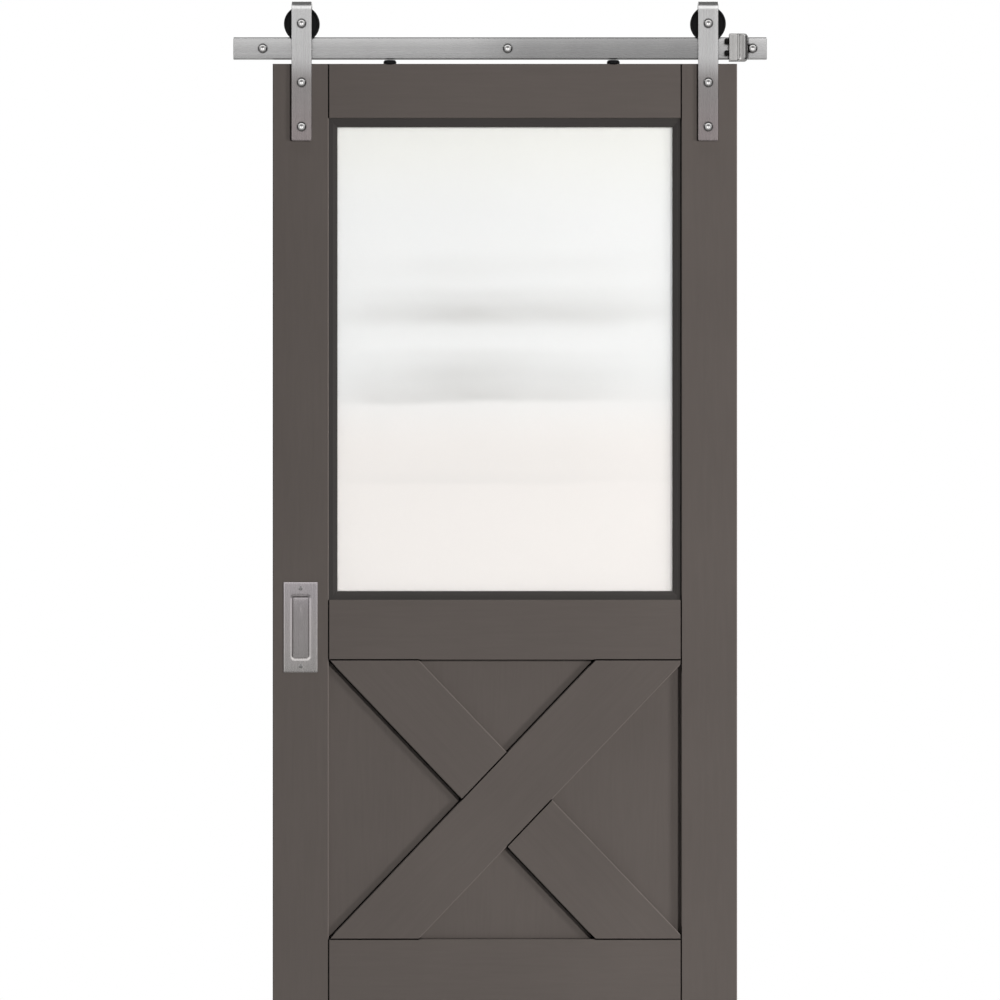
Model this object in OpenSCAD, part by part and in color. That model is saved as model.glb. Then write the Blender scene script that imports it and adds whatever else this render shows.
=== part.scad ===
// Sliding barn door: a half-glazed leaf with a crossed lower panel, hung by two
// strap hangers on grooved wheels that roll along a flat wall track.
//
// +X is to the right, +Z is up and the room is on the -Y side. The wall is the plane
// Y = 0, and the origin is on that plane, on the axis of the track's middle screw.

/* [Door leaf] */
// Width of the leaf
door_w = 914; // [700:1:1220]
// Height of the leaf
door_h = 2032; // [1900:1:2450]
// Thickness of the leaf
door_t = 35; // [30:1:50]
// Width of each upright stile
stile_w = 110; // [90:1:140]
// Height of the top rail
top_rail_h = 107; // [90:1:160]
// Height of the glazed opening
lite_h = 948; // [700:1:1000]
// Height of the lock rail between glass and panel
lock_rail_h = 118; // [90:1:160]
// Height of the panel opening
panel_h = 550; // [400:1:650]
// Eased edge on every board, measured along each face
edge_ease = 1.5; // [0.5:0.1:2.5]

/* [Panel and braces] */
// Thickness of the flat panel
panel_t = 9; // [6:0.5:12]
// How far the panel reaches into the frame's groove
panel_tongue = 9; // [6:0.5:14]
// Width of the crossed boards, square to their length
brace_w = 128; // [80:1:150]
// How far short of the right corner the crossed boards' right edges meet the stile
brace_drop = 8; // [0:1:20]

/* [Glazing] */
// Thickness of the glass
glass_t = 5; // [4:0.5:8]
// Width of the glazing beads seen from the front
bead_w = 17; // [12:0.5:24]
// How far the beads lie below the face of the leaf
bead_recess = 5; // [2:0.5:8]
// Thickness of the sealing tape on each side of the glass
tape_t = 1.5; // [1:0.1:2.5]
// Gap between the edge of the glass and the frame
glass_edge_gap = 3; // [2:0.5:5]

/* [Track] */
// Height of the flat track
track_h = 44; // [36:0.5:56]
// Thickness of the flat track
track_t = 8; // [6:0.2:10]
// Radius on the track's long edges
track_edge_r = 3.2; // [1:0.1:3.4]
// Diameter of the stand-off
spacer_d = 22; // [18:0.5:24]
// Track beyond the left screw
track_end_left = 58; // [30:1:80]
// Track beyond the right screw
track_end_right = 28; // [20:1:60]
// Gap between the track and the top of the leaf
leaf_gap = 9; // [9:0.5:16]
// Gap between the wall and the nuts behind the leaf
wall_gap = 5.5; // [3:0.5:20]

/* [Travel] */
// How far the leaf can roll to the left
travel_left = 125; // [80:1:900]
// How far the leaf can roll to the right before it meets the bumpers
travel_right = 12; // [5:1:100]
// Track left under the wheel at the end of its run to the left
run_off = 10; // [5:1:60]

/* [Hangers] */
// Width of the strap
strap_w = 40; // [32:1:50]
// Thickness of the strap
strap_t = 6; // [4:0.5:7]
// Outer radius of the strap's two bends
strap_bend_r = 12; // [10:0.5:12]
// Radius of the corners at the strap's lower end
strap_corner_r = 3; // [1:0.5:6]
// Length of strap that lies on the leaf
strap_on_leaf = 152; // [140:1:220]
// Upper strap bolt, below the top of the leaf
bolt_upper = 37; // [25:1:50]
// Lower strap bolt, below the top of the leaf
bolt_lower = 124; // [90:1:130]
// Hanger's centre line, from the edge of the leaf
hanger_inset = 57; // [45:1:60]
// Gap between strap and track, room for the screw heads
rail_gap = 8; // [7.5:0.5:12]
// How far the short rear leg reaches below the axle
rear_leg_drop = 19; // [14:1:20]

/* [Wheels] */
// Diameter over the flanges
wheel_d = 70; // [64:1:90]
// Depth of the groove that runs on the track
groove_depth = 9; // [6:0.5:10]
// Side clearance between the groove and the track
groove_clear = 1; // [0.5:0.1:1.5]
// Thickness of each flange
flange_t = 5; // [4:0.5:5.5]
// Gap between the wheel and the hanger above it
wheel_top_gap = 3; // [2.5:0.5:6]
// Outer diameter of the ball bearing
bearing_d = 30; // [28:1:34]
// Width of the ball bearing
bearing_w = 9; // [7:0.5:10]
// Diameter of the balls
ball_d = 4.8; // [4:0.1:5]
// Balls in each bearing
ball_count = 8; // [6:1:8]

/* [Fasteners] */
// Diameter of the axle, strap bolts and wall screws
bolt_d = 10; // [8:0.5:11]
// Width across the flats of their heads
hex_af = 16; // [15:0.5:17]
// Height of their heads
hex_h = 6; // [5:0.5:6.5]
// How much thinner the wall screws' threads are than their shanks, on the radius
thread_step = 0.4; // [0.2:0.1:1]
// Length of a wall screw beyond the stand-off
screw_in_wall = 55; // [40:1:80]
// Thickness of the nuts behind the leaf
nut_t = 5.5; // [4:0.5:7]
// Diameter of the dowels between stiles and rails
dowel_d = 10; // [8:1:12]
// Length of the dowels
dowel_l = 60; // [40:1:70]
// Play around shanks in their holes, on the radius
play = 0.15; // [0.1:0.05:0.3]

/* [Track stop] */
// Width of the stop along the track
stop_w = 37.5; // [32:0.5:46]
// Depth of the stop in front of the track
stop_depth = 18; // [16:0.5:22]
// Stop above the track
stop_over = 6; // [5:0.5:9]
// Stop below the track
stop_under = 4; // [3:0.5:6]
// Thickness of the clip behind the track
stop_clip_t = 6; // [5:0.5:7]
// How far the clip hangs down behind the track
stop_clip_h = 26; // [20:1:34]
// How much narrower the clip is than the stop, at each end
stop_clip_inset = 3; // [2:0.5:5]
// Length of the bumpers
bumper_l = 9; // [8:0.5:14]
// Diameter of the bumpers
bumper_d = 11; // [8:0.5:12]
// Height between the two bumpers
bumper_pitch = 23.5; // [20:0.5:28]
// Gap between the stop and the nearest screw head
stop_gap = 1.5; // [1:0.5:10]

/* [Flush pull] */
// Width of the plate
pull_w = 67; // [58:1:80]
// Height of the plate
pull_h = 178; // [160:1:220]
// Thickness of the plate
pull_plate_t = 2; // [1.5:0.1:3]
// Width of the finger recess
cup_w = 34; // [26:1:40]
// Height of the finger recess
cup_h = 123; // [100:1:130]
// Width of the sloped lip round the recess
cup_lip = 4; // [2:0.5:5]
// Depth of the finger recess below the plate's face
cup_depth = 13; // [10:1:18]
// Radius of the recess's corners
cup_r = 6; // [4:0.5:8]
// Wall of the cup
cup_wall = 1.5; // [1:0.1:2]
// Height between the two screws
pull_screw_pitch = 153; // [150:1:156]
// Centre of the pull, below the top of the leaf
pull_drop = 1109; // [900:1:1300]

/* [Anti-jump discs] */
// Distance between the two discs
disc_span = 440; // [300:1:500]
// How far the pair of discs lies from the leaf's middle, to the right
disc_shift = -6.5; // [-20:0.5:20]
// Diameter of the discs
disc_d = 25.5; // [20:0.5:32]
// Gap between a disc and the track
disc_gap = 1.2; // [1:0.1:4]

/* [Floor guide] */
// Gap between the leaf and the floor
floor_gap = 10; // [8:0.5:14]
// Width of the groove in the bottom of the leaf
guide_groove_w = 8; // [7:0.5:10]
// Depth of that groove
guide_groove_h = 14; // [12:0.5:18]
// Gap on each side of the guide's fin
guide_play = 0.5; // [0.3:0.1:0.8]
// Thickness of the guide's foot plate
guide_plate_t = 3; // [2:0.5:4]
// Length of the guide along the door
guide_l = 64; // [50:1:90]
// Place of the guide, from the middle of the leaf
guide_x = 255; // [-260:1:260]

/* [Hidden] */

$fn = 64;
OVERCUT = 1;           // how far a cutter runs past the face it cuts
GLUE_GAP = 0.1;        // room left between boards that are planted side by side
SEAT_GAP = 0.05;       // room around small pieces that sit in a close hole
stop_clear = 0.3;      // least gap between the stop and the wheel's flange
tread_gap = 0.1;       // keeps the wheels just clear of the track

// Depths from the wall
spacer_l = wall_gap + nut_t + door_t - rail_gap - track_t;
track_back = -spacer_l;
track_front = track_back - track_t;
wheel_y = (track_back + track_front) / 2;
leaf_front = track_front - rail_gap;
leaf_mid = leaf_front + door_t / 2;
leaf_back = leaf_front + door_t;
strap_front = leaf_front - strap_t;
rear_leg_front = 2 * wheel_y - leaf_front;
rear_leg_back = rear_leg_front + strap_t;

// Heights
track_top = track_h / 2;
flange_r = wheel_d / 2;
tread_r = flange_r - groove_depth;
wheel_z = track_top + tread_gap + tread_r;
strap_top = wheel_z + flange_r + wheel_top_gap + strap_t;
leaf_top = -track_h / 2 - leaf_gap;
leaf_bottom = leaf_top - door_h;
lite_top = leaf_top - top_rail_h;
lite_bottom = lite_top - lite_h;
panel_top = lite_bottom - lock_rail_h;
panel_bottom = panel_top - panel_h;
bottom_rail_h = panel_bottom - leaf_bottom;
floor_z = leaf_bottom - floor_gap;
stop_z0 = -track_top - stop_under;
stop_z1 = track_top + stop_over;

// Along the track, first measured from the middle of the leaf
hanger_x = door_w / 2 - hanger_inset;
// The stop clears the wheel's flange, and the right screw's head and stand-off clear the stop
flange_reach = sqrt(pow(flange_r, 2) - pow(wheel_z - stop_z1, 2));
stop_left = hanger_x + travel_right + max(strap_w / 2 + bumper_l, flange_reach + stop_clear);
right_hole = stop_left + stop_w + stop_gap + max(hex_af / 2, spacer_d / 2 - stop_clip_inset);
left_end = -(hanger_x + travel_left + run_off);
left_hole = left_end + track_end_left;
middle_hole = (left_hole + right_hole) / 2;
// The origin is at the middle hole, so everything else moves by this much
door_x = -middle_hole;
hole_pitch = (right_hole - left_hole) / 2;
track_left = left_end + door_x;
track_right = right_hole + track_end_right + door_x;
stop_x = stop_left + door_x;

// Leaf
opening_w = door_w - 2 * stile_w;
opening_left = door_x - opening_w / 2;
brace_t = (door_t - panel_t) / 2;
groove_play = 0.1;
tongue_gap = 1;
// A crossed board's left edge leaves a left corner and lands on the far rail brace_reach along it.
// Its right edge is brace_run further on, so that the two are brace_w apart.
brace_rise = panel_h - brace_drop;
brace_reach = let(w2 = brace_w * brace_w, h2 = brace_rise * brace_rise)
    panel_h * (opening_w * brace_rise - brace_w * sqrt(h2 + opening_w * opening_w - w2)) / (h2 - w2);
brace_run = opening_w - brace_reach * brace_rise / panel_h;
bead_t = door_t / 2 - bead_recess - glass_t / 2 - tape_t;
bead_lip = 3;          // bead beyond the tape's inner edge
tape_w = bead_w - glass_edge_gap - bead_lip;
setting_block_l = 60;

// Wheels
wheel_w = track_t + 2 * (groove_clear + flange_t);
rim_ease = 1;
ball_r = ball_d / 2;
pitch_r = (bolt_d / 2 + bearing_d / 2) / 2;
inner_ring_r = pitch_r - 0.9 * ball_r;
outer_ring_r = pitch_r + 0.9 * ball_r;
race_r = ball_r + SEAT_GAP;
bush_r = inner_ring_r - 0.5;
bush_l = (wheel_y - leaf_front) - bearing_w / 2;
shoulder_w = 2;        // lip that keeps the bearing from moving forward in the wheel
face_groove_r = 1.5;   // ring turned into each face of a wheel

// Fasteners
shank_r = bolt_d / 2;
hole_r = shank_r + play;
hex_r = hex_af / 2 / cos(30);
thread_r = shank_r - thread_step;
tip_r = 1;             // blunt point of a wall screw
tip_l = 7;
dowel_r = dowel_d / 2;

// Flush pull
pull_x = door_x - door_w / 2 + stile_w / 2;
pull_z = leaf_top - pull_drop;
pull_front = leaf_front - pull_plate_t;
cup_back = pull_front + cup_depth + cup_wall;
lip_depth = 0.8 * pull_plate_t;
pocket_gap = 0.5;
csk_r = 4;             // head of the pull's and disc's countersunk screws
csk_h = 2;             // depth of that head
small_r = 1.9;         // shank of those screws
small_l = 20;          // length of those screws
cross_l = 4.4;         // recess for a cross-head driver in small screws
cross_w = 1.1;
cross_h = 2.4;         // twice its depth

// Anti-jump discs
disc_t = leaf_gap - disc_gap;
disc_x = [for (i = [-1, 1]) door_x + disc_shift + i * disc_span / 2];
disc_ease = 2;
disc_y = wheel_y;
disc_screw_l = 18;

// Stop
stop_front = track_front - stop_depth;
cheek_w = 16;          // flat part of the stop that carries the bumpers
barrel_r = (stop_w - cheek_w) / 2;
clip_back = track_back + stop_clip_t;
set_screw_r = 3;
bumper_y = leaf_front - strap_t / 2;
bumper_seat = 2;       // how deep a bumper sits in the stop
bumper_mid_z = 1.5;
bumper_nose = 3;
stop_edge_r = 2;       // rounding of the cheek's front corners
set_screw_rise = 7;    // set screws above the clip's lower edge
set_socket_r = 1.7;
set_socket_h = 3;

// Floor guide
fin_w = guide_groove_w - 2 * guide_play;
fin_top_gap = 3;
fin_top = leaf_bottom + guide_groove_h - fin_top_gap;
foot_w = 44;
guide_screw_inset = [10, 9];
guide_mid_x = door_x + guide_x;
guide_screw_x = guide_l / 2 - guide_screw_inset[0];
guide_screw_y = foot_w / 2 - guide_screw_inset[1];
guide_screw_r = 2.4;
guide_neck_r = 2.7;    // plain part of the screws, in the plate
guide_screw_l = 25;
guide_head_r = 4.5;
guide_head_h = 2.2;

// A board with eased edges round its front and rear faces. x0, z0 and x1, z1 are opposite corners.
module board(x0, z0, x1, z1) {
    e = edge_ease;
    y0 = leaf_front;
    y1 = leaf_back;
    intersection() {
        translate([0, 0, z0]) linear_extrude(z1 - z0)
            polygon([[x0 + e, y0], [x1 - e, y0], [x1, y0 + e], [x1, y1 - e],
                     [x1 - e, y1], [x0 + e, y1], [x0, y1 - e], [x0, y0 + e]]);
        translate([x0, 0, 0]) rotate([90, 0, 90]) linear_extrude(x1 - x0)
            polygon([[y0, z0 + e], [y0 + e, z0], [y1 - e, z0], [y1, z0 + e],
                     [y1, z1 - e], [y1 - e, z1], [y0 + e, z1], [y0, z1 - e]]);
    }
}

// A rod along +X from its left end
module rod_x(x, y, z, r, l) translate([x, y, z]) rotate([0, 90, 0]) cylinder(r = r, h = l);

// A rod along +Y from its front end
module rod_y(x, y, z, r, l) translate([x, y, z]) rotate([-90, 0, 0]) cylinder(r = r, h = l);

// A six-sided prism along +Y with its corners up and down
module hex_y(x, y, z, r, l) translate([x, y, z]) rotate([-90, 30, 0]) cylinder(r = r, h = l, $fn = 6);

// Heights of the dowels at each end of the three rails
function dowel_heights() = [
    for (f = [0.25, 0.75]) leaf_top - f * top_rail_h,
    for (f = [0.25, 0.75]) lite_bottom - f * lock_rail_h,
    for (f = [0.2, 0.5, 0.8]) panel_bottom - f * bottom_rail_h
];

// Both ends of every rail, as rods of radius r and length l centred on the joint
module dowel_rods(r, l)
    for (side = [-1, 1], z = dowel_heights())
        rod_x(door_x + side * opening_w / 2 - l / 2, leaf_mid, z, r, l);

// The slot that holds the panel, all round the panel opening
module panel_groove() {
    d = panel_tongue + tongue_gap;
    w = panel_t + 2 * groove_play;
    translate([opening_left - d, leaf_mid - w / 2, panel_bottom - d])
        cube([opening_w + 2 * d, w, panel_h + 2 * d]);
}

// The groove along the bottom of the leaf for the floor guide
module guide_groove()
    translate([door_x - door_w / 2 - OVERCUT, leaf_mid - guide_groove_w / 2, leaf_bottom - OVERCUT])
        cube([door_w + 2 * OVERCUT, guide_groove_w, guide_groove_h + OVERCUT]);

// Holes through a stile for one hanger's two bolts
module strap_bolt_holes(x)
    for (drop = [bolt_upper, bolt_lower])
        rod_y(x, leaf_front - strap_t - OVERCUT, leaf_top - drop, hole_r, strap_t + door_t + 2 * OVERCUT);

// A block along +Y with rounded upright corners, centred on x and z
module rounded_block(x, y, z, w, h, l, r) {
    translate([x - w / 2 + r, y, z - h / 2]) cube([w - 2 * r, l, h]);
    translate([x - w / 2, y, z - h / 2 + r]) cube([w, l, h - 2 * r]);
    for (i = [-1, 1], k = [-1, 1])
        rod_y(x + i * (w / 2 - r), y, z + k * (h / 2 - r), r, l);
}

module stile(side, hanger) {
    x_out = door_x + side * door_w / 2;
    x_in = door_x + side * opening_w / 2;
    difference() {
        board(min(x_out, x_in), leaf_bottom, max(x_out, x_in), leaf_top);
        panel_groove();
        guide_groove();
        dowel_rods(dowel_r + SEAT_GAP, dowel_l + 2);
        strap_bolt_holes(hanger);
        if (side < 0) {
            rounded_block(pull_x, leaf_front - OVERCUT, pull_z,
                cup_w + 2 * (cup_wall + pocket_gap), cup_h + 2 * (cup_wall + pocket_gap),
                OVERCUT + cup_back - leaf_front + pocket_gap, cup_r + cup_wall + pocket_gap);
            for (k = [-1, 1])
                rod_y(pull_x, leaf_front - OVERCUT, pull_z + k * pull_screw_pitch / 2,
                    small_r + SEAT_GAP, small_l + OVERCUT);
        }
    }
}

module left_stile() color("#5c5853") stile(-1, door_x - hanger_x);
module right_stile() color("#5c5853") stile(1, door_x + hanger_x);

// A rail between the stiles
module rail(z0, z1) difference() {
    board(opening_left, z0, opening_left + opening_w, z1);
    dowel_rods(dowel_r + SEAT_GAP, dowel_l + 2);
    children();
}

module top_rail() color("#5c5853") rail(lite_top, leaf_top)
    for (x = disc_x)
        translate([x, disc_y, leaf_top - disc_screw_l])
            cylinder(r = small_r + SEAT_GAP, h = disc_screw_l + OVERCUT);

module lock_rail() color("#5c5853") rail(panel_top, lite_bottom) panel_groove();

module bottom_rail() color("#5c5853") rail(leaf_bottom, panel_bottom) {
    panel_groove();
    guide_groove();
}

module rail_dowels() color("#c9a877") dowel_rods(dowel_r, dowel_l);

module lower_panel() color("#57544f")
    translate([opening_left - panel_tongue, leaf_mid - panel_t / 2, panel_bottom - panel_tongue])
        cube([opening_w + 2 * panel_tongue, panel_t, panel_h + 2 * panel_tongue]);

// Where the crossed boards' edges meet, in the panel opening's own corner coordinates
brace_slope = panel_h / brace_reach;
long_brace_points = [[0, 0], [brace_run, 0], [opening_w, brace_rise], [opening_w, panel_h],
    [brace_reach, panel_h]];
upper_brace_points = [[0, panel_h], [brace_reach / 2, panel_h / 2],
    [(brace_reach + brace_run) / 2, (brace_reach + brace_run) / 2 * brace_slope], [brace_run, panel_h]];
lower_brace_points = [[opening_w, 0], [opening_w, brace_drop], [brace_run + brace_reach / 2, panel_h / 2],
    [(brace_reach + brace_run) / 2, (brace_reach - brace_run) / 2 * brace_slope], [brace_reach, 0]];

// A planted board with its outer edges eased, lying on the front (side -1) or rear (1) of the panel
module brace(points, side) {
    sheet = 0.01;
    translate([opening_left, leaf_mid + side * panel_t / 2, panel_bottom])
        scale([1, -side, 1]) rotate([90, 0, 0]) hull() {
            linear_extrude(brace_t - edge_ease) offset(delta = -GLUE_GAP) polygon(points);
            linear_extrude(brace_t) offset(delta = -edge_ease - GLUE_GAP) polygon(points);
        }
}

module front_brace_long() color("#5f5a55") brace(long_brace_points, -1);
module front_brace_upper() color("#5f5a55") brace(upper_brace_points, -1);
module front_brace_lower() color("#5f5a55") brace(lower_brace_points, -1);
module rear_brace_long() color("#5f5a55") brace(long_brace_points, 1);
module rear_brace_upper() color("#5f5a55") brace(upper_brace_points, 1);
module rear_brace_lower() color("#5f5a55") brace(lower_brace_points, 1);

module glass_pane() color("#eef0ee")
    translate([opening_left + glass_edge_gap, leaf_mid - glass_t / 2, lite_bottom + glass_edge_gap])
        cube([opening_w - 2 * glass_edge_gap, glass_t, lite_h - 2 * glass_edge_gap]);

// A frame of tape on the front (side -1) or rear (1) of the glass
module glazing_tape(side) {
    g = glass_edge_gap;
    y = side < 0 ? leaf_mid - glass_t / 2 - tape_t : leaf_mid + glass_t / 2;
    difference() {
        translate([opening_left + g, y, lite_bottom + g])
            cube([opening_w - 2 * g, tape_t, lite_h - 2 * g]);
        translate([opening_left + g + tape_w, y - OVERCUT, lite_bottom + g + tape_w])
            cube([opening_w - 2 * (g + tape_w), tape_t + 2 * OVERCUT, lite_h - 2 * (g + tape_w)]);
    }
}

module front_glazing_tape() color("#202020") glazing_tape(-1);
module rear_glazing_tape() color("#202020") glazing_tape(1);

module setting_blocks() color("#202020")
    for (i = [-1, 1])
        translate([door_x + i * opening_w / 4 - setting_block_l / 2, leaf_mid - glass_t / 2, lite_bottom])
            cube([setting_block_l, glass_t, glass_edge_gap]);

// A mitred bead of length l along +X, its back corner at the origin, front towards -Y.
// The inner half slopes back towards the glass.
module bead(l, side) {
    slope = bead_t / 4;
    intersection() {
        scale([1, -side, 1]) rotate([90, 0, 90]) linear_extrude(l)
            polygon([[0, 0], [0, bead_w], [-bead_t + slope, bead_w], [-bead_t, bead_w / 2], [-bead_t, 0]]);
        translate([0, bead_t + OVERCUT, 0]) rotate([90, 0, 0]) linear_extrude(2 * (bead_t + OVERCUT))
            polygon([[GLUE_GAP, 0], [l - GLUE_GAP, 0], [l - bead_w - GLUE_GAP, bead_w],
                     [bead_w + GLUE_GAP, bead_w]]);
    }
}

// One of four beads on the front (side -1) or rear (1) of the glass, turned round the opening
module placed_bead(place, side) {
    y = leaf_mid + side * (glass_t / 2 + tape_t);
    x0 = opening_left;
    x1 = opening_left + opening_w;
    if (place == "bottom") translate([x0, y, lite_bottom]) bead(opening_w, side);
    if (place == "right") translate([x1, y, lite_bottom]) rotate([0, -90, 0]) bead(lite_h, side);
    if (place == "top") translate([x1, y, lite_top]) rotate([0, 180, 0]) bead(opening_w, side);
    if (place == "left") translate([x0, y, lite_top]) rotate([0, 90, 0]) bead(lite_h, side);
}

module front_bead_top() color("#3f3e3d") placed_bead("top", -1);
module front_bead_bottom() color("#3f3e3d") placed_bead("bottom", -1);
module front_bead_left() color("#3f3e3d") placed_bead("left", -1);
module front_bead_right() color("#3f3e3d") placed_bead("right", -1);
module rear_bead_top() color("#3f3e3d") placed_bead("top", 1);
module rear_bead_bottom() color("#3f3e3d") placed_bead("bottom", 1);
module rear_bead_left() color("#3f3e3d") placed_bead("left", 1);
module rear_bead_right() color("#3f3e3d") placed_bead("right", 1);

// A countersunk screw along +Y with a cross recess; y is the face its head is flush with
module pull_screw(y, z) {
    difference() {
        union() {
            translate([pull_x, y, z]) rotate([-90, 0, 0])
                cylinder(r1 = csk_r, r2 = small_r, h = csk_h);
            rod_y(pull_x, y + csk_h / 2, z, small_r, small_l - csk_h);
        }
        for (a = [0, 90])
            translate([pull_x, y, z]) rotate([0, a, 0]) cube([cross_l, cross_h, cross_w], center = true);
    }
}

module flush_pull() color("#b4b2b0") difference() {
    union() {
        translate([pull_x - pull_w / 2, pull_front, pull_z - pull_h / 2])
            cube([pull_w, pull_plate_t, pull_h]);
        rounded_block(pull_x, pull_front + pull_plate_t / 2, pull_z, cup_w + 2 * cup_wall,
            cup_h + 2 * cup_wall, cup_back - pull_front - pull_plate_t / 2, cup_r + cup_wall);
    }
    rounded_block(pull_x, pull_front - OVERCUT, pull_z, cup_w, cup_h, cup_depth + OVERCUT, cup_r);
    hull() {
        rounded_block(pull_x, pull_front - lip_depth / 20, pull_z, cup_w + 2 * cup_lip,
            cup_h + 2 * cup_lip, lip_depth / 20, cup_r + cup_lip);
        rounded_block(pull_x, pull_front + lip_depth, pull_z, cup_w, cup_h, lip_depth / 20, cup_r);
    }
    for (k = [-1, 1]) {
        z = pull_z + k * pull_screw_pitch / 2;
        rod_y(pull_x, pull_front - OVERCUT, z, small_r + SEAT_GAP, pull_plate_t + 2 * OVERCUT);
        translate([pull_x, pull_front, z]) rotate([-90, 0, 0])
            cylinder(r1 = csk_r + SEAT_GAP, r2 = small_r + SEAT_GAP, h = csk_h);
    }
}

module pull_screws() color("#8f8d8b")
    for (k = [-1, 1]) pull_screw(pull_front, pull_z + k * pull_screw_pitch / 2);

// Side view of a hanger: long front leg, bend over the wheel, short rear leg
module hanger_section() {
    ri = strap_bend_r - strap_t;
    zb = strap_top - strap_bend_r;
    low = leaf_top - strap_on_leaf;
    rear_low = wheel_z - rear_leg_drop;
    translate([strap_front, low]) square([strap_t, zb - low]);
    translate([rear_leg_front, rear_low]) square([strap_t, zb - rear_low]);
    translate([strap_front + strap_bend_r, strap_top - strap_t])
        square([rear_leg_back - strap_front - 2 * strap_bend_r, strap_t]);
    for (side = [-1, 1]) {
        yb = side < 0 ? strap_front + strap_bend_r : rear_leg_back - strap_bend_r;
        translate([yb, zb]) difference() {
            intersection() {
                circle(strap_bend_r);
                translate([side < 0 ? -strap_bend_r : 0, 0]) square(strap_bend_r);
            }
            circle(ri);
        }
    }
}

module hanger(x) {
    low = leaf_top - strap_on_leaf;
    r = strap_corner_r;
    deep = rear_leg_back - strap_front + 2 * OVERCUT;
    difference() {
        intersection() {
            translate([x - strap_w / 2, 0, 0]) rotate([90, 0, 90]) linear_extrude(strap_w) hanger_section();
            union() {
                translate([x - strap_w / 2 + r, strap_front - OVERCUT, low])
                    cube([strap_w - 2 * r, deep, strap_top - low + OVERCUT]);
                translate([x - strap_w / 2, strap_front - OVERCUT, low + r])
                    cube([strap_w, deep, strap_top - low]);
                for (i = [-1, 1]) rod_y(x + i * (strap_w / 2 - r), strap_front - OVERCUT, low + r, r, deep);
            }
        }
        strap_bolt_holes(x);
        rod_y(x, strap_front - OVERCUT, wheel_z, hole_r, deep);
    }
}

module left_hanger() color("#a9a7a5") hanger(door_x - hanger_x);
module right_hanger() color("#a9a7a5") hanger(door_x + hanger_x);

// A hexagon-headed bolt along +Y; y is the face under its head and l its length
module hex_bolt(x, y, z, l) {
    intersection() {
        hex_y(x, y - hex_h, z, hex_r, hex_h);
        translate([x, y, z]) rotate([90, 0, 0])
            cylinder(r1 = hex_r + hex_h / 2, r2 = hex_af / 2, h = hex_h);
    }
    rod_y(x, y - hex_h / 2, z, shank_r, l + hex_h / 2);
}

// A nut along +Y; y is its front face
module hex_nut(x, y, z) difference() {
    hex_y(x, y, z, hex_r, nut_t);
    rod_y(x, y - OVERCUT, z, shank_r + SEAT_GAP, nut_t + 2 * OVERCUT);
}

module hanger_bolts() color("#c4c2c0")
    for (i = [-1, 1], drop = [bolt_upper, bolt_lower])
        hex_bolt(door_x + i * hanger_x, strap_front, leaf_top - drop, strap_t + door_t + nut_t);

module hanger_nuts() color("#c4c2c0")
    for (i = [-1, 1], drop = [bolt_upper, bolt_lower])
        hex_nut(door_x + i * hanger_x, leaf_back, leaf_top - drop);

module axle_bolt(x) hex_bolt(x, strap_front, wheel_z, rear_leg_back - strap_front + nut_t);
module left_axle_bolt() color("#c4c2c0") axle_bolt(door_x - hanger_x);
module right_axle_bolt() color("#c4c2c0") axle_bolt(door_x + hanger_x);

module axle_nuts() color("#c4c2c0")
    for (i = [-1, 1]) hex_nut(door_x + i * hanger_x, rear_leg_back, wheel_z);

module axle_bushes() color("#9a9896")
    for (i = [-1, 1], y = [leaf_front, rear_leg_front - bush_l])
        difference() {
            rod_y(door_x + i * hanger_x, y, wheel_z, bush_r, bush_l);
            rod_y(door_x + i * hanger_x, y - OVERCUT, wheel_z, shank_r + SEAT_GAP, bush_l + 2 * OVERCUT);
        }

// Turns a half section, drawn as radius and offset from the wheel's middle plane, about the axle
module turned(x) translate([x, wheel_y, wheel_z]) rotate([-90, 0, 0]) rotate_extrude() children();

module bearing_inner(x) color("#d0d0d0") turned(x) difference() {
    translate([shank_r + SEAT_GAP, -bearing_w / 2])
        square([inner_ring_r - shank_r - SEAT_GAP, bearing_w]);
    translate([pitch_r, 0]) circle(race_r);
}
module left_bearing_inner() bearing_inner(door_x - hanger_x);
module right_bearing_inner() bearing_inner(door_x + hanger_x);

module bearing_outer(x) color("#d0d0d0") turned(x) difference() {
    translate([outer_ring_r, -bearing_w / 2]) square([bearing_d / 2 - outer_ring_r, bearing_w]);
    translate([pitch_r, 0]) circle(race_r);
}
module left_bearing_outer() bearing_outer(door_x - hanger_x);
module right_bearing_outer() bearing_outer(door_x + hanger_x);

module bearing_balls(x) color("#e0e0e0")
    for (i = [0:ball_count - 1])
        translate([x, wheel_y, wheel_z]) rotate([0, 360 / ball_count * i, 0])
            translate([pitch_r, 0, 0]) sphere(ball_r);
module left_bearing_balls() bearing_balls(door_x - hanger_x);
module right_bearing_balls() bearing_balls(door_x + hanger_x);

// A grooved wheel, bored from the rear for its bearing
module wheel(x) color("#161616") turned(x) difference() {
    g = track_t / 2 + groove_clear;
    h = wheel_w / 2;
    e = rim_ease;
    r0 = bearing_d / 2;
    polygon([[r0, -bearing_w / 2], [r0 - shoulder_w, -bearing_w / 2], [r0 - shoulder_w, -h],
             [flange_r - e, -h], [flange_r, -h + e], [flange_r, -g - e], [flange_r - e, -g],
             [tread_r + e, -g], [tread_r, -g + e], [tread_r, g - e], [tread_r + e, g],
             [flange_r - e, g], [flange_r, g + e], [flange_r, h - e], [flange_r - e, h], [r0, h]]);
    for (side = [-1, 1])
        translate([(r0 + flange_r) / 2, side * h]) circle(face_groove_r);
}
module left_wheel() wheel(door_x - hanger_x);
module right_wheel() wheel(door_x + hanger_x);

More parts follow.
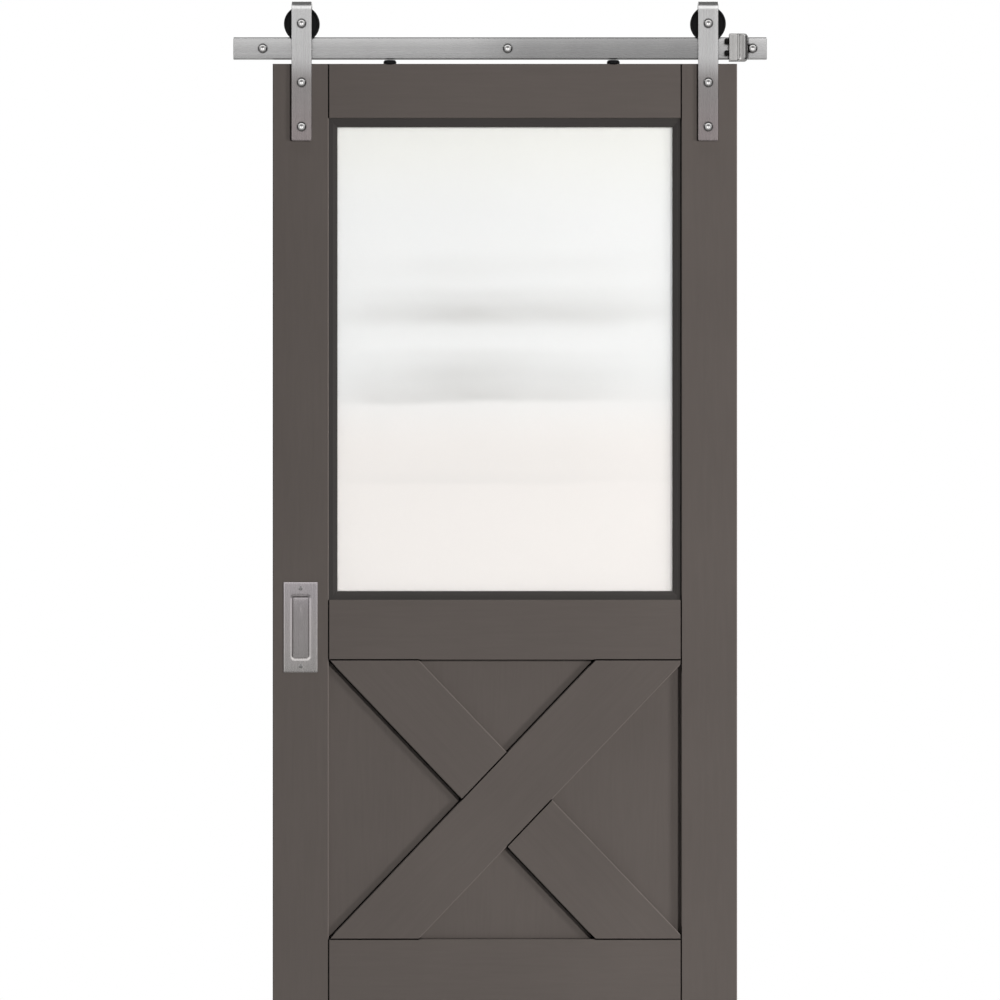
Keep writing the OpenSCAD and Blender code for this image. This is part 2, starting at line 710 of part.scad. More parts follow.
module jump_disc(x) color("#1a1a1a") translate([x, disc_y, leaf_top]) difference() {
    union() {
        cylinder(d = disc_d, h = disc_t - disc_ease);
        translate([0, 0, disc_t - disc_ease])
            cylinder(r1 = disc_d / 2, r2 = disc_d / 2 - disc_ease, h = disc_ease);
    }
    translate([0, 0, -OVERCUT]) cylinder(r = small_r + SEAT_GAP, h = disc_t + 2 * OVERCUT);
    translate([0, 0, disc_t - csk_h])
        cylinder(r1 = small_r + SEAT_GAP, r2 = csk_r + SEAT_GAP, h = csk_h);
}
module left_jump_disc() jump_disc(disc_x[0]);
module right_jump_disc() jump_disc(disc_x[1]);

// A countersunk screw pointing down, through the disc at x
module disc_screw(x) translate([x, disc_y, leaf_top + disc_t - csk_h]) difference() {
    union() {
        cylinder(r1 = small_r, r2 = csk_r, h = csk_h);
        translate([0, 0, csk_h / 2 - disc_screw_l]) cylinder(r = small_r, h = disc_screw_l);
    }
    for (a = [0, 90]) translate([0, 0, csk_h]) rotate([0, 0, a])
        cube([cross_l, cross_w, cross_h], center = true);
}

module disc_screws() color("#303030")
    for (x = disc_x) disc_screw(x);

// Screw positions along the track
screw_xs = [-hole_pitch, 0, hole_pitch];

module track() color("#9d9c9a") difference() {
    r = track_edge_r;
    translate([track_left, 0, 0]) rotate([90, 0, 90]) linear_extrude(track_right - track_left) union() {
        translate([track_front + r, -track_top]) square([track_t - 2 * r, track_h]);
        translate([track_front, -track_top + r]) square([track_t, track_h - 2 * r]);
        for (y = [track_front + r, track_back - r], z = [-track_top + r, track_top - r])
            translate([y, z]) circle(r);
    }
    for (x = screw_xs) rod_y(x, track_front - OVERCUT, 0, hole_r, track_t + 2 * OVERCUT);
}

module spacer(x) color("#a9a7a5") difference() {
    rod_y(x, track_back, 0, spacer_d / 2, spacer_l);
    rod_y(x, track_back - OVERCUT, 0, hole_r, spacer_l + 2 * OVERCUT);
}
module left_spacer() spacer(screw_xs[0]);
module centre_spacer() spacer(screw_xs[1]);
module right_spacer() spacer(screw_xs[2]);

module wall_screws() color("#c4c2c0")
    for (x = screw_xs) {
        hex_bolt(x, track_front, 0, track_t + spacer_l);
        rod_y(x, -shank_r, 0, thread_r, screw_in_wall + shank_r);
        translate([x, screw_in_wall, 0]) rotate([-90, 0, 0]) cylinder(r1 = thread_r, r2 = tip_r, h = tip_l);
    }

// The two set screws that clamp the stop, at their places along it
stop_screw_xs = [for (f = [0.25, 0.75]) stop_x + f * stop_w];
stop_screw_z = stop_z1 - stop_clip_h + set_screw_rise;

module stop_body() color("#bdbbb9") difference() {
    union() {
        translate([stop_x, stop_front + stop_edge_r, stop_z0])
            cube([cheek_w, stop_depth - stop_edge_r, stop_z1 - stop_z0]);
        translate([stop_x + stop_edge_r, stop_front, stop_z0])
            cube([cheek_w - 2 * stop_edge_r, stop_depth, stop_z1 - stop_z0]);
        for (dx = [stop_edge_r, cheek_w - stop_edge_r])
            translate([stop_x + dx, stop_front + stop_edge_r, stop_z0])
                cylinder(r = stop_edge_r, h = stop_z1 - stop_z0);
        translate([stop_x + cheek_w + barrel_r, stop_front + barrel_r, stop_z0])
            cylinder(r = barrel_r, h = stop_z1 - stop_z0);
        translate([stop_x + cheek_w, stop_front + barrel_r, stop_z0])
            cube([2 * barrel_r, stop_depth - barrel_r, stop_z1 - stop_z0]);
        // bridge over the track and the clip behind it
        translate([stop_x, track_front - OVERCUT, track_top])
            cube([stop_w, track_t + OVERCUT, stop_over]);
        translate([stop_x + stop_clip_inset, track_back, stop_z1 - stop_clip_h])
            cube([stop_w - 2 * stop_clip_inset, stop_clip_t, stop_clip_h]);
        // lip under the track
        translate([stop_x, track_front - OVERCUT, stop_z0]) cube([stop_w, track_t + OVERCUT, stop_under]);
    }
    // slide fit on the track
    translate([stop_x - OVERCUT, track_front - SEAT_GAP, -track_top - SEAT_GAP])
        cube([stop_w + 2 * OVERCUT, track_t + 2 * SEAT_GAP, track_h + 2 * SEAT_GAP]);
    for (k = [-1, 1])
        rod_x(stop_x - OVERCUT, bumper_y, bumper_mid_z + k * bumper_pitch / 2,
            bumper_d / 2 + SEAT_GAP, bumper_seat + OVERCUT);
    for (x = stop_screw_xs)
        rod_y(x, track_back - OVERCUT, stop_screw_z, set_screw_r + SEAT_GAP, stop_clip_t + 2 * OVERCUT);
}

module stop_set_screws() color("#303030")
    for (x = stop_screw_xs) difference() {
        rod_y(x, track_back, stop_screw_z, set_screw_r, stop_clip_t);
        translate([x, clip_back - set_socket_h, stop_screw_z]) rotate([-90, 0, 0])
            cylinder(r = set_socket_r, h = set_socket_h + OVERCUT, $fn = 6);
    }

// A rubber bumper with a rounded nose, pointing along -X
module bumper(z) color("#101010") {
    nose = bumper_nose;
    l = bumper_l + bumper_seat;
    translate([stop_x + bumper_seat, bumper_y, z]) rotate([0, -90, 0]) rotate_extrude() union() {
        square([bumper_d / 2 - nose, l]);
        square([bumper_d / 2, l - nose]);
        intersection() {
            translate([bumper_d / 2 - nose, l - nose]) circle(nose);
            square([bumper_d, l]);
        }
    }
}
module upper_bumper() bumper(bumper_mid_z + bumper_pitch / 2);
module lower_bumper() bumper(bumper_mid_z - bumper_pitch / 2);

guide_screw_places = [for (i = [-1, 1], j = [-1, 1])
    [guide_mid_x + i * guide_screw_x, leaf_mid + j * guide_screw_y]];

module guide_plate() color("#a9a7a5") difference() {
    translate([guide_mid_x - guide_l / 2, leaf_mid - foot_w / 2, floor_z])
        cube([guide_l, foot_w, guide_plate_t]);
    for (p = guide_screw_places) translate([p[0], p[1], floor_z - OVERCUT])
        cylinder(r = guide_neck_r + play, h = guide_plate_t + 2 * OVERCUT);
}

module guide_fin() color("#1a1a1a")
    translate([guide_mid_x - guide_l / 2, leaf_mid - fin_w / 2, floor_z + guide_plate_t])
        cube([guide_l, fin_w, fin_top - floor_z - guide_plate_t]);

module guide_screws() color("#8f8d8b")
    for (p = guide_screw_places) {
        translate([p[0], p[1], floor_z + guide_plate_t]) cylinder(r = guide_head_r, h = guide_head_h);
        translate([p[0], p[1], floor_z]) cylinder(r = guide_neck_r, h = guide_plate_t + guide_head_h / 2);
        translate([p[0], p[1], floor_z - guide_screw_l])
            cylinder(r = guide_screw_r, h = guide_screw_l + guide_plate_t);
    }

left_stile();
right_stile();
top_rail();
lock_rail();
bottom_rail();
rail_dowels();
lower_panel();
front_brace_long();
front_brace_upper();
front_brace_lower();
rear_brace_long();
rear_brace_upper();
rear_brace_lower();
glass_pane();
front_glazing_tape();
rear_glazing_tape();
setting_blocks();
front_bead_top();
front_bead_bottom();
front_bead_left();
front_bead_right();
rear_bead_top();
rear_bead_bottom();
rear_bead_left();
rear_bead_right();
flush_pull();
pull_screws();
left_hanger();
right_hanger();
hanger_bolts();
hanger_nuts();
left_axle_bolt();
right_axle_bolt();
axle_nuts();
axle_bushes();
left_bearing_inner();
right_bearing_inner();
left_jump_disc();
right_jump_disc();
disc_screws();
left_wheel();
left_bearing_outer();
left_bearing_balls();
right_wheel();
right_bearing_outer();
right_bearing_balls();
track();
left_spacer();
centre_spacer();
right_spacer();
wall_screws();
stop_body();
stop_set_screws();
upper_bumper();
lower_bumper();
guide_plate();
guide_fin();
guide_screws();
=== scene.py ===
"""Finishes, hardware surfaces, light and camera for a half-glazed sliding barn door on a wall track.

Every length is in metres. +X is to the right, +Z up, and the room is on the -Y side.
"""

import math

import bpy
import numpy as np
from bpy.props import FloatProperty, FloatVectorProperty, IntProperty, PointerProperty
from bpy.types import Operator, Panel, PropertyGroup
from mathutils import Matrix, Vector


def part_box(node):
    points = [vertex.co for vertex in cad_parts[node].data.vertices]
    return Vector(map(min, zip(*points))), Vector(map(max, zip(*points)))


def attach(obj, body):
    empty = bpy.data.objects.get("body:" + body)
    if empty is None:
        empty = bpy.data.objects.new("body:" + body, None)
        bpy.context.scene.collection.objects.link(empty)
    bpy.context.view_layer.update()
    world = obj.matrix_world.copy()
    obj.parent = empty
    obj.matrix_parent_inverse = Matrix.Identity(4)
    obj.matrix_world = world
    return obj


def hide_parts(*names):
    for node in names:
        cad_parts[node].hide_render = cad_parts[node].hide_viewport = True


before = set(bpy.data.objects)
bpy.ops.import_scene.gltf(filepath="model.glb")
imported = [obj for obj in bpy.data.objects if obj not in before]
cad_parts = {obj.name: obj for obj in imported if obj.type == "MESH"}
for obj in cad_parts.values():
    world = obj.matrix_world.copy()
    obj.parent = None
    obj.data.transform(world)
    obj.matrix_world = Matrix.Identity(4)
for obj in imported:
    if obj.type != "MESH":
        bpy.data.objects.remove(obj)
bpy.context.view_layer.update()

bl_info = {
    "name": "Barn door finishes",
    "version": (1, 0, 0),
    "blender": (4, 5, 0),
    "location": "View3D > Sidebar > Barn door",
    "description": "Paints, glazes and fits out a sliding barn door on its wall track",
    "category": "Object",
}

MM = 0.001
X, Y, Z = 0, 1, 2
SIDES = ("left", "right")
FACES = ("front", "rear")
FRAME_BOARDS = {"left_stile": 90, "right_stile": 90, "top_rail": 0, "lock_rail": 0, "bottom_rail": 0}


# ---------------------------------------------------------------- places in the frame


def corners(node):
    """Lowest and highest corner of a CAD node at rest, as two arrays."""
    low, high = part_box(node)
    return np.array(low), np.array(high)


def middle(node):
    """Centre of a CAD node's box."""
    low, high = corners(node)
    return (low + high) / 2


def half_size(node):
    """Half the size of a CAD node's box along each axis."""
    low, high = corners(node)
    return (high - low) / 2


def reach_of(node, axis):
    """Where a CAD node starts and ends along an axis."""
    low, high = corners(node)
    return low[axis], high[axis]


LEAF_FRONT = reach_of("left_stile", Y)[0]
FLOOR_Z = reach_of("guide_plate", Z)[0]

# bolts: across flats and corners, shank, flat round top of a head, its dimple, flat round face of a nut
HEAD_AF, _, HEAD_CORNERS = 2 * half_size("left_axle_bolt")
SHANK_R = 5 * MM
HEAD_TOP_R = HEAD_AF * 0.40
DIMPLE_R = HEAD_AF * 0.20
NUT_TOP_R = HEAD_AF * 0.475
CHAMFER = math.tan(math.radians(30))
UNDER_HEAD = 0.5 * MM

# how far a strap leans before its bend
LEAD_TURN = math.radians(13)

# roughness of plated fasteners, from and to; the turn that stands hairlines upright
SMOOTH = (0.08, 0.16)
UPRIGHT = (0, math.pi / 2, 0)


# ---------------------------------------------------------------- surfaces


def eased(outline, ease, steps=5, closed=True):
    """Rounds the corners of an outline of points.

    Corner P becomes the curve (1 - t)^2 A + 2 t (1 - t) P + t^2 B, where A and B lie `ease` from P
    towards its two neighbours, but never more than halfway.
    """
    points = np.asarray(outline, float)
    back = np.roll(points, 1, 0) - points
    ahead = np.roll(points, -1, 0) - points
    t = np.linspace(0, 1, steps)[None, :, None]

    def reach(step):
        length = np.linalg.norm(step, axis=1, keepdims=True)
        return step / np.maximum(length, 1e-12) * np.minimum(ease, length / 2)

    start, end = (points + reach(back))[:, None], (points + reach(ahead))[:, None]
    curve = (1 - t) ** 2 * start + 2 * t * (1 - t) * points[:, None] + t ** 2 * end
    if closed:
        return curve.reshape(-1, points.shape[1])
    inner = curve[1:-1].reshape(-1, points.shape[1])
    return np.concatenate([points[:1], inner, points[-1:]])


def rounded_rectangles(half_w, half_h, corner, steps=6):
    """Rings of points round rounded rectangles, one ring for each value given.

    In each quadrant the points turn a quarter circle of radius `corner` about a centre that lies
    `corner` in from both sides. The result has shape (rings, 4 * steps, 2).
    """
    half_w, half_h, corner = (np.asarray(v, float).reshape(-1, 1) for v in (half_w, half_h, corner))
    quadrant = np.repeat(np.arange(4), steps)
    angle = quadrant * math.pi / 2 + np.tile(np.linspace(0, math.pi / 2, steps), 4)
    sign_x = np.where((quadrant == 1) | (quadrant == 2), -1, 1)
    sign_y = np.where(quadrant >= 2, -1, 1)
    x = sign_x * (half_w - corner) + corner * np.cos(angle)
    y = sign_y * (half_h - corner) + corner * np.sin(angle)
    return np.stack([x, y], -1)


def round_in(distance, radius):
    """How far a rounded end falls short of full width: radius - sqrt(radius^2 - (radius - d)^2)."""
    left = np.clip(radius - distance, 0, radius)
    return radius - np.sqrt(radius ** 2 - left ** 2)


def near_ends(length, reach, steps=6, spans=2):
    """Places along a length, crowded into a quarter-cosine over `reach` at each end."""
    start = reach * (1 - np.cos(np.linspace(0, math.pi / 2, steps)))
    between = np.linspace(reach, length - reach, spans + 1)[1:-1]
    return np.concatenate([start, between, length - start[::-1]])


def hexagon_radius(angle, across_flats):
    """Radius of a hexagon at each angle, with a corner at angle 0: apothem / cos(angle off the flat)."""
    off_flat = np.mod(angle, math.pi / 3) - math.pi / 6
    return across_flats / 2 / np.cos(off_flat)


def around(columns):
    """Angles of a full turn, as one row."""
    return np.linspace(0, 2 * math.pi, columns, endpoint=False)[None, :]


def about(axis, radius, angle, place, centre):
    """Points at a radius, an angle and a place along an axis that runs through centre.

    Taking the axes in the order X, Y, Z, X, radius cos(angle) lies along the next one and
    radius sin(angle) along the one after.
    """
    radius, angle, place = np.broadcast_arrays(radius, angle, place)
    points = np.empty(radius.shape + (3,))
    points[..., axis] = place
    for step, wave in ((1, np.cos), (2, np.sin)):
        across = (axis + step) % 3
        points[..., across] = centre[across] + radius * wave(angle)
    return points


def turned(axis, section, centre, columns):
    """A section of (radius, offset along the axis) points turned about an axis through centre."""
    section = np.asarray(section, float)
    return about(axis, section[:, :1], around(columns), centre[axis] + section[:, 1:], centre)


class Shells:
    """Closed surfaces that are gathered into one mesh."""

    def __init__(self):
        self.points, self.quads, self.triangles, self.count = [], [], [], 0

    def add(self, grid, ring=False):
        """Adds a grid of points whose columns close on themselves.

        A ring's rows close on themselves too; otherwise a fan to the mean point closes each end.
        Faces are turned outwards by the sign of the volume, the sum of v0 . (v1 x v2) / 6.
        """
        rows, columns = grid.shape[:2]
        points = grid.reshape(-1, 3)
        index = np.arange(rows * columns).reshape(rows, columns)
        lower, upper = (index, np.roll(index, -1, 0)) if ring else (index[:-1], index[1:])
        right = np.roll(lower, -1, 1), np.roll(upper, -1, 1)
        quads = np.stack([lower, right[0], right[1], upper], -1).reshape(-1, 4)
        triangles = np.zeros((0, 3), int)
        if not ring:
            points = np.concatenate([points, grid[0].mean(0)[None], grid[-1].mean(0)[None]])
            first, last = index[0], index[-1]
            start = np.stack([np.roll(first, -1), first, np.full(columns, rows * columns)], -1)
            end = np.stack([last, np.roll(last, -1), np.full(columns, rows * columns + 1)], -1)
            triangles = np.concatenate([start, end])
        split = np.concatenate([quads[:, [0, 1, 2]], quads[:, [0, 2, 3]], triangles])
        a, b, c = (points[split[:, k]] - points.mean(0) for k in range(3))
        if np.einsum("ij,ij->", a, np.cross(b, c)) < 0:
            quads, triangles = quads[:, ::-1], triangles[:, ::-1]
        self.points.append(points)
        self.quads.append(quads + self.count)
        self.triangles.append(triangles + self.count)
        self.count += len(points)
        return self

    def build(self, name, body, slot, stands_for, finish=None, sharp=32):
        """Makes the object, riding on a body and standing for CAD nodes.

        It has its slot's finish, or one of that slot's variants, such as brushing along another axis.
        """
        points = np.concatenate(self.points)
        quads, triangles = np.concatenate(self.quads), np.concatenate(self.triangles)
        loops = np.concatenate([quads.ravel(), triangles.ravel()])
        starts = np.concatenate([np.arange(len(quads)) * 4, len(quads) * 4 + np.arange(len(triangles)) * 3])
        mesh = bpy.data.meshes.new(name)
        mesh.vertices.add(len(points))
        mesh.vertices.foreach_set("co", points.ravel())
        mesh.loops.add(len(loops))
        mesh.loops.foreach_set("vertex_index", loops.astype(np.int32))
        mesh.polygons.add(len(starts))
        mesh.polygons.foreach_set("loop_start", starts.astype(np.int32))
        mesh.polygons.foreach_set("use_smooth", np.ones(len(starts), bool))
        mesh.update(calc_edges=True)
        mesh.validate()
        mesh.set_sharp_from_angle(angle=math.radians(sharp))
        piece = bpy.data.objects.new(name, mesh)
        bpy.context.scene.collection.objects.link(piece)
        mesh.materials.append(finish_for(finish or slot))
        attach(piece, body)
        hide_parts(*stands_for)
        return piece


def hex_head(shells, centre, face_y, height, dome, dimple, columns=96):
    """A domed hexagon head whose underside lies at face_y, pointing towards -Y.

    At a height h up the side the radius is the smaller of the hexagon's and of a 30 degree cone's.
    The top rises by dome (1 - (r / R)^2) and sinks at its centre by dimple exp(-(r / r0)^2).
    """
    angle = around(columns)
    hexagon = hexagon_radius(angle, HEAD_AF)
    up = np.concatenate([[0, 0.05], np.linspace(0.1, 0.45, 4), np.linspace(0.5, 1, 14)])[:, None] * height
    cone = HEAD_TOP_R + (height - up) / CHAMFER
    broken_edge = 0.15 * MM
    side = np.minimum(hexagon - broken_edge * (up == 0), cone)
    inward = np.linspace(0.985, 0.02, 22)[:, None] * HEAD_TOP_R
    crown = dome * (1 - (inward / HEAD_TOP_R) ** 2) - dimple * np.exp(-(inward / DIMPLE_R) ** 2)
    radius = np.concatenate([side, np.broadcast_to(inward, (len(inward), columns))])
    crown = np.broadcast_to(height + crown, (len(inward), columns))
    rise = np.concatenate([np.broadcast_to(up, side.shape), crown])
    shells.add(about(Y, radius, angle, face_y - rise, centre))


def hex_nut(shells, centre, y0, y1, bore, columns=96):
    """A hexagon nut between y0 and y1, both faces chamfered by a 30 degree cone."""
    angle = around(columns)
    hexagon = hexagon_radius(angle, HEAD_AF)
    y = np.linspace(y0, y1, 24)[:, None]
    cone = NUT_TOP_R + np.minimum(y - y0, y1 - y) / CHAMFER
    outside = np.minimum(hexagon, cone)
    inside = np.full((2, columns), bore)
    radius = np.concatenate([outside, inside])
    depth = np.concatenate([np.broadcast_to(y, outside.shape), np.broadcast_to([[y1], [y0]], inside.shape)])
    shells.add(about(Y, radius, angle, depth, centre), ring=True)


def thread(length, crest, depth, pitch, point, rows, columns, blunt=0.05):
    """Places along a rod with a single-start thread, angles round it, and its radius there.

    At s along the rod and a round it, the radius is crest - depth |2 f - 1|^1.5, where f is the
    fraction of s / pitch - a / 2 pi. Over the last `point` it falls evenly to `blunt` of that.
    """
    s = np.linspace(0, length, rows)[:, None]
    angle = around(columns)
    fraction = np.mod(s / pitch - angle / (2 * math.pi), 1)
    radius = crest - depth * np.abs(2 * fraction - 1) ** 1.5
    if point:
        radius = radius * np.clip((length - s) / point, blunt, 1)
    return s, angle, radius


def threaded_rod(shells, centre, y0, y1, crest, depth, pitch, point=0.0, columns=40):
    """A threaded rod from y0 back to y1; its end rings are circles, as narrow as its tip or its root."""
    rows = int((y1 - y0) / pitch * 8) + 2
    s, angle, radius = thread(y1 - y0, crest, depth, pitch, point, rows, columns)
    ends = radius[-1] if point else radius[[0, -1]]
    radius[[0, -1]] = ends.min()
    shells.add(about(Y, radius, angle, y0 + s, centre))


def slab(shells, low, high, corner, ease, flat_axis, steps=6):
    """A plate with rounded corners and eased edges: rounded rectangles stacked along its thin axis.

    Near each face the rectangles shrink by ease - sqrt(ease^2 - (ease - d)^2).
    """
    low, high = np.asarray(low, float), np.asarray(high, float)
    across = [axis for axis in range(3) if axis != flat_axis]
    centre, half = (low + high) / 2, (high - low) / 2
    depth = near_ends(high[flat_axis] - low[flat_axis], ease)
    shrink = round_in(np.minimum(depth, depth[::-1]), ease)
    rings = rounded_rectangles(half[across[0]] - shrink, half[across[1]] - shrink,
                               np.maximum(corner - shrink, 0.05 * MM), steps)
    grid = np.empty(rings.shape[:2] + (3,))
    grid[..., across[0]] = centre[across[0]] + rings[..., 0]
    grid[..., across[1]] = centre[across[1]] + rings[..., 1]
    grid[..., flat_axis] = (low[flat_axis] + depth)[:, None]
    shells.add(grid)


def cross_head(shells, centre, outward, radius, rise, recess, columns=96, rings=26):
    """A low domed screw head with a cross-shaped driver recess, facing `outward` along Y or Z.

    Its height is rise (1 - (r / R)^2), less recess times a smooth step that is 1 inside either bar
    of the cross.
    """
    r = np.linspace(1, 0.02, rings)[:, None] * radius
    angle = around(columns)
    u, v = np.abs(r * np.cos(angle)), np.abs(r * np.sin(angle))
    bar_w, bar_l, soft = 0.2 * radius, 0.6 * radius, 0.06 * radius

    def inside(a, b):
        return np.clip((bar_w - a) / soft + 0.5, 0, 1) * np.clip((bar_l - b) / soft + 0.5, 0, 1)

    height = rise * (1 - (r / radius) ** 2) - recess * np.maximum(inside(u, v), inside(v, u))
    below_face = 0.4 * MM
    skirt = np.full((1, columns), -below_face)
    r = np.concatenate([np.broadcast_to(r[:1], (1, columns)), np.broadcast_to(r, height.shape)])
    height = np.concatenate([skirt, height])
    x, other = r * np.cos(angle), r * np.sin(angle)
    if outward == "-Y":
        shells.add(np.stack([centre[0] + x, centre[1] - height, centre[2] + other], -1))
    else:
        shells.add(np.stack([centre[0] + x, centre[1] + other, centre[2] + height], -1))


# ---------------------------------------------------------------- finishes


def new_material(name):
    """A new material with its node tree and its Principled shader."""
    material = bpy.data.materials.new(name)
    material.use_nodes = True
    tree = material.node_tree
    return material, tree, tree.nodes["Principled BSDF"]


def plug_in(tree, shader, colour, roughness, relief, fixed=()):
    """Feeds a shader its colour, roughness and relief, and sets its (name, value) pairs of other inputs."""
    for name, socket in (("Base Color", colour), ("Roughness", roughness), ("Normal", relief)):
        tree.links.new(socket, shader.inputs[name])
    for name, value in fixed:
        shader.inputs[name].default_value = value


def add_node(tree, kind, settings=None, **links):
    """Adds a node, sets its properties and sockets, and links what is another node's socket."""
    node = tree.nodes.new(kind)
    for key, value in (settings or {}).items():
        setattr(node, key, value)
    for key, value in links.items():
        socket = node.inputs[int(key[1:])] if key[0] == "i" and key[1:].isdigit() else node.inputs[key]
        if isinstance(value, bpy.types.NodeSocket):
            tree.links.new(value, socket)
        else:
            socket.default_value = value
    return node


def noise(tree, where, scale, detail=3.0, roughness=0.5, distortion=0.0):
    """Fractal noise over a set of coordinates; returns its factor."""
    node = add_node(tree, "ShaderNodeTexNoise", Vector=where, Scale=scale, Detail=detail,
                    Roughness=roughness, Distortion=distortion)
    return node.outputs["Fac"]


def mapped(tree, scale=(1, 1, 1), turn=(0, 0, 0)):
    """Object coordinates, turned and then stretched."""
    where = add_node(tree, "ShaderNodeTexCoord").outputs["Object"]
    turned = add_node(tree, "ShaderNodeMapping", Vector=where, Rotation=turn)
    return add_node(tree, "ShaderNodeMapping", Vector=turned.outputs[0], Scale=scale).outputs[0]


def spread(tree, factor, low, high, start=0.3, end=0.7):
    """Maps a factor between two values."""
    node = add_node(tree, "ShaderNodeMapRange", Value=factor)
    node.inputs["From Min"].default_value = start
    node.inputs["From Max"].default_value = end
    node.inputs["To Min"].default_value = low
    node.inputs["To Max"].default_value = high
    return node.outputs[0]


def worked_out(tree, operation, *values):
    """The result of a sum, a product or the like."""
    links = {f"i{place}": value for place, value in enumerate(values)}
    return add_node(tree, "ShaderNodeMath", {"operation": operation}, **links).outputs[0]


def blended(tree, factor, first, second, way="MIX"):
    """Blends two colours, each a fixed colour or a socket."""
    node = add_node(tree, "ShaderNodeMix", {"data_type": "RGBA", "blend_type": way}, Factor=factor)
    places = [socket for socket in node.inputs if socket.type == "RGBA"]
    for place, colour in zip(places, (first, second)):
        if isinstance(colour, bpy.types.NodeSocket):
            tree.links.new(colour, place)
        else:
            place.default_value = (*colour, 1)
    return [socket for socket in node.outputs if socket.type == "RGBA"][0]


def ramp(tree, factor, *stops):
    """A colour ramp of (place, colour) stops, smooth between them; a number stands for a grey."""
    node = add_node(tree, "ShaderNodeValToRGB", Fac=factor)
    elements = node.color_ramp.elements
    node.color_ramp.interpolation = "EASE"
    for place, _ in stops[1:-1]:
        elements.new(place)
    for element, (place, colour) in zip(elements, stops):
        element.position = place
        element.color = (colour, colour, colour, 1) if isinstance(colour, float) else (*colour, 1)
    return node.outputs[0]


def along(tree, axis, low, high):
    """How far a point lies from one place to another along an axis, from 0 to 1."""
    where = add_node(tree, "ShaderNodeTexCoord").outputs["Object"]
    parts = add_node(tree, "ShaderNodeSeparateXYZ", Vector=where)
    return spread(tree, parts.outputs[axis], 0, 1, low, high)


def shade(colour, factor):
    """A colour made lighter or darker."""
    return tuple(min(1.0, channel * factor) for channel in colour)


def bump(tree, height, distance, strength=1.0, after=None):
    """A bump of a real height in metres, on top of an earlier one if there is one."""
    links = {"Height": height, "Distance": distance, "Strength": strength}
    if after is not None:
        links["Normal"] = after
    return add_node(tree, "ShaderNodeBump", **links).outputs[0]


def crevice(tree, reach, dark, shut=0.5, wide=0.85, right_side=False):
    """Painted shade: a grey that falls to `dark` where surfaces within reach shut a point in, and is 1 in the
    open.

    With `right_side`, what stands to the right counts for more, and what stands to the left for less.
    """
    links = {"Distance": reach}
    if right_side:
        normal = add_node(tree, "ShaderNodeNewGeometry").outputs["True Normal"]
        leant = add_node(tree, "ShaderNodeVectorMath", {"operation": "ADD"}, i0=normal, i1=(1, 0, 0))
        unit = add_node(tree, "ShaderNodeVectorMath", {"operation": "NORMALIZE"}, i0=leant.outputs[0])
        links["Normal"] = unit.outputs[0]
    openness = add_node(tree, "ShaderNodeAmbientOcclusion", {"samples": 12}, **links)
    return ramp(tree, openness.outputs["AO"], (shut, dark), (wide, 1.0))


def where_facing(tree, axis, *stops):
    """A ramp of the share of the face's own normal that points along an axis, from -1 to 1."""
    normal = add_node(tree, "ShaderNodeNewGeometry").outputs["True Normal"]
    share = add_node(tree, "ShaderNodeSeparateXYZ", Vector=normal).outputs[axis]
    return ramp(tree, spread(tree, share, 0, 1, -1, 1), *(((place + 1) / 2, grey) for place, grey in stops))


def painted_wood(name, colour, grain_angle, look, shaded_until=None):
    """Sprayed satin paint over wood: grain telegraphs through and sheen drifts; painted shade darkens the
    joints and left-facing flanks, and a painted highlight pales right-facing ones.

    With `shaded_until`, a painted shadow darkens a panel along the left edges of the boards on it, as if lit
    from the right, up to that place along X, where the stile's own edge starts.
    """
    material, tree, shader = new_material(name)
    turn = (0, math.radians(grain_angle), 0)
    grain = noise(tree, mapped(tree, (9, 60, 150), turn), 1.0, 6, 0.62, 0.4)
    pores = noise(tree, mapped(tree, (30, 200, 900), turn), 1.0, 2, 0.5)
    cloud = noise(tree, mapped(tree), 2.6, 3, 0.55)
    orange_peel = noise(tree, mapped(tree), 420, 2, 0.5)
    base = blended(tree, spread(tree, cloud, 0, 1, 0.25, 0.75), shade(colour, 0.95), shade(colour, 1.05))
    worn = blended(tree, spread(tree, grain, 0, 1), shade((1, 1, 1), 1 - look.grain_contrast), (1, 1, 1))
    base = blended(tree, 1.0, base, worn, "MULTIPLY")
    # painted shade: only the sloping flanks of a V-joint get a dark line; flat faces beside a step get none
    flank = where_facing(tree, "Y", (-0.95, 0.0), (-0.85, 1.0), (-0.45, 1.0), (-0.30, 0.0),
                         (0.30, 0.0), (0.45, 1.0), (0.85, 1.0), (0.95, 0.0))
    joint = crevice(tree, look.joint_reach, look.joint_dark, 0.8, 0.97)
    # painted shade: a flank that looks left above a lower board is as dark as a joint; painted highlight: one
    # that looks right is drawn paler
    step = crevice(tree, look.step_reach, look.joint_dark, 0.93, 0.999)
    joint = blended(tree, where_facing(tree, "X", (-0.35, 1.0), (-0.15, 0.0)), joint, step)
    lit_edge_highlight = where_facing(tree, "X", (0.15, 1.0), (0.35, look.lit_edge_highlight))
    joint = blended(tree, 1.0, joint, lit_edge_highlight, "MULTIPLY")
    line = blended(tree, flank, (1, 1, 1), joint)
    if shaded_until is not None:
        # painted shadow on the panel just left of each board, as if cast by light from the right
        beside = crevice(tree, look.contact_reach, 0.0, 0.57, 0.70, right_side=True)
        at_stile = along(tree, "X", shaded_until - 2 * look.contact_reach, shaded_until - look.contact_reach)
        line = blended(tree, 1.0, line, blended(tree, at_stile, beside, (1, 1, 1)), "MULTIPLY")
    relief = bump(tree, grain, 0.12 * MM, look.grain_depth)
    relief = bump(tree, pores, 0.05 * MM, look.grain_depth, relief)
    relief = bump(tree, orange_peel, 0.015 * MM, 0.6, relief)
    plug_in(tree, shader, blended(tree, 1.0, base, line, "MULTIPLY"), spread(tree, grain, 0.44, 0.56), relief,
            [("Specular IOR Level", 0.02)])
    return material


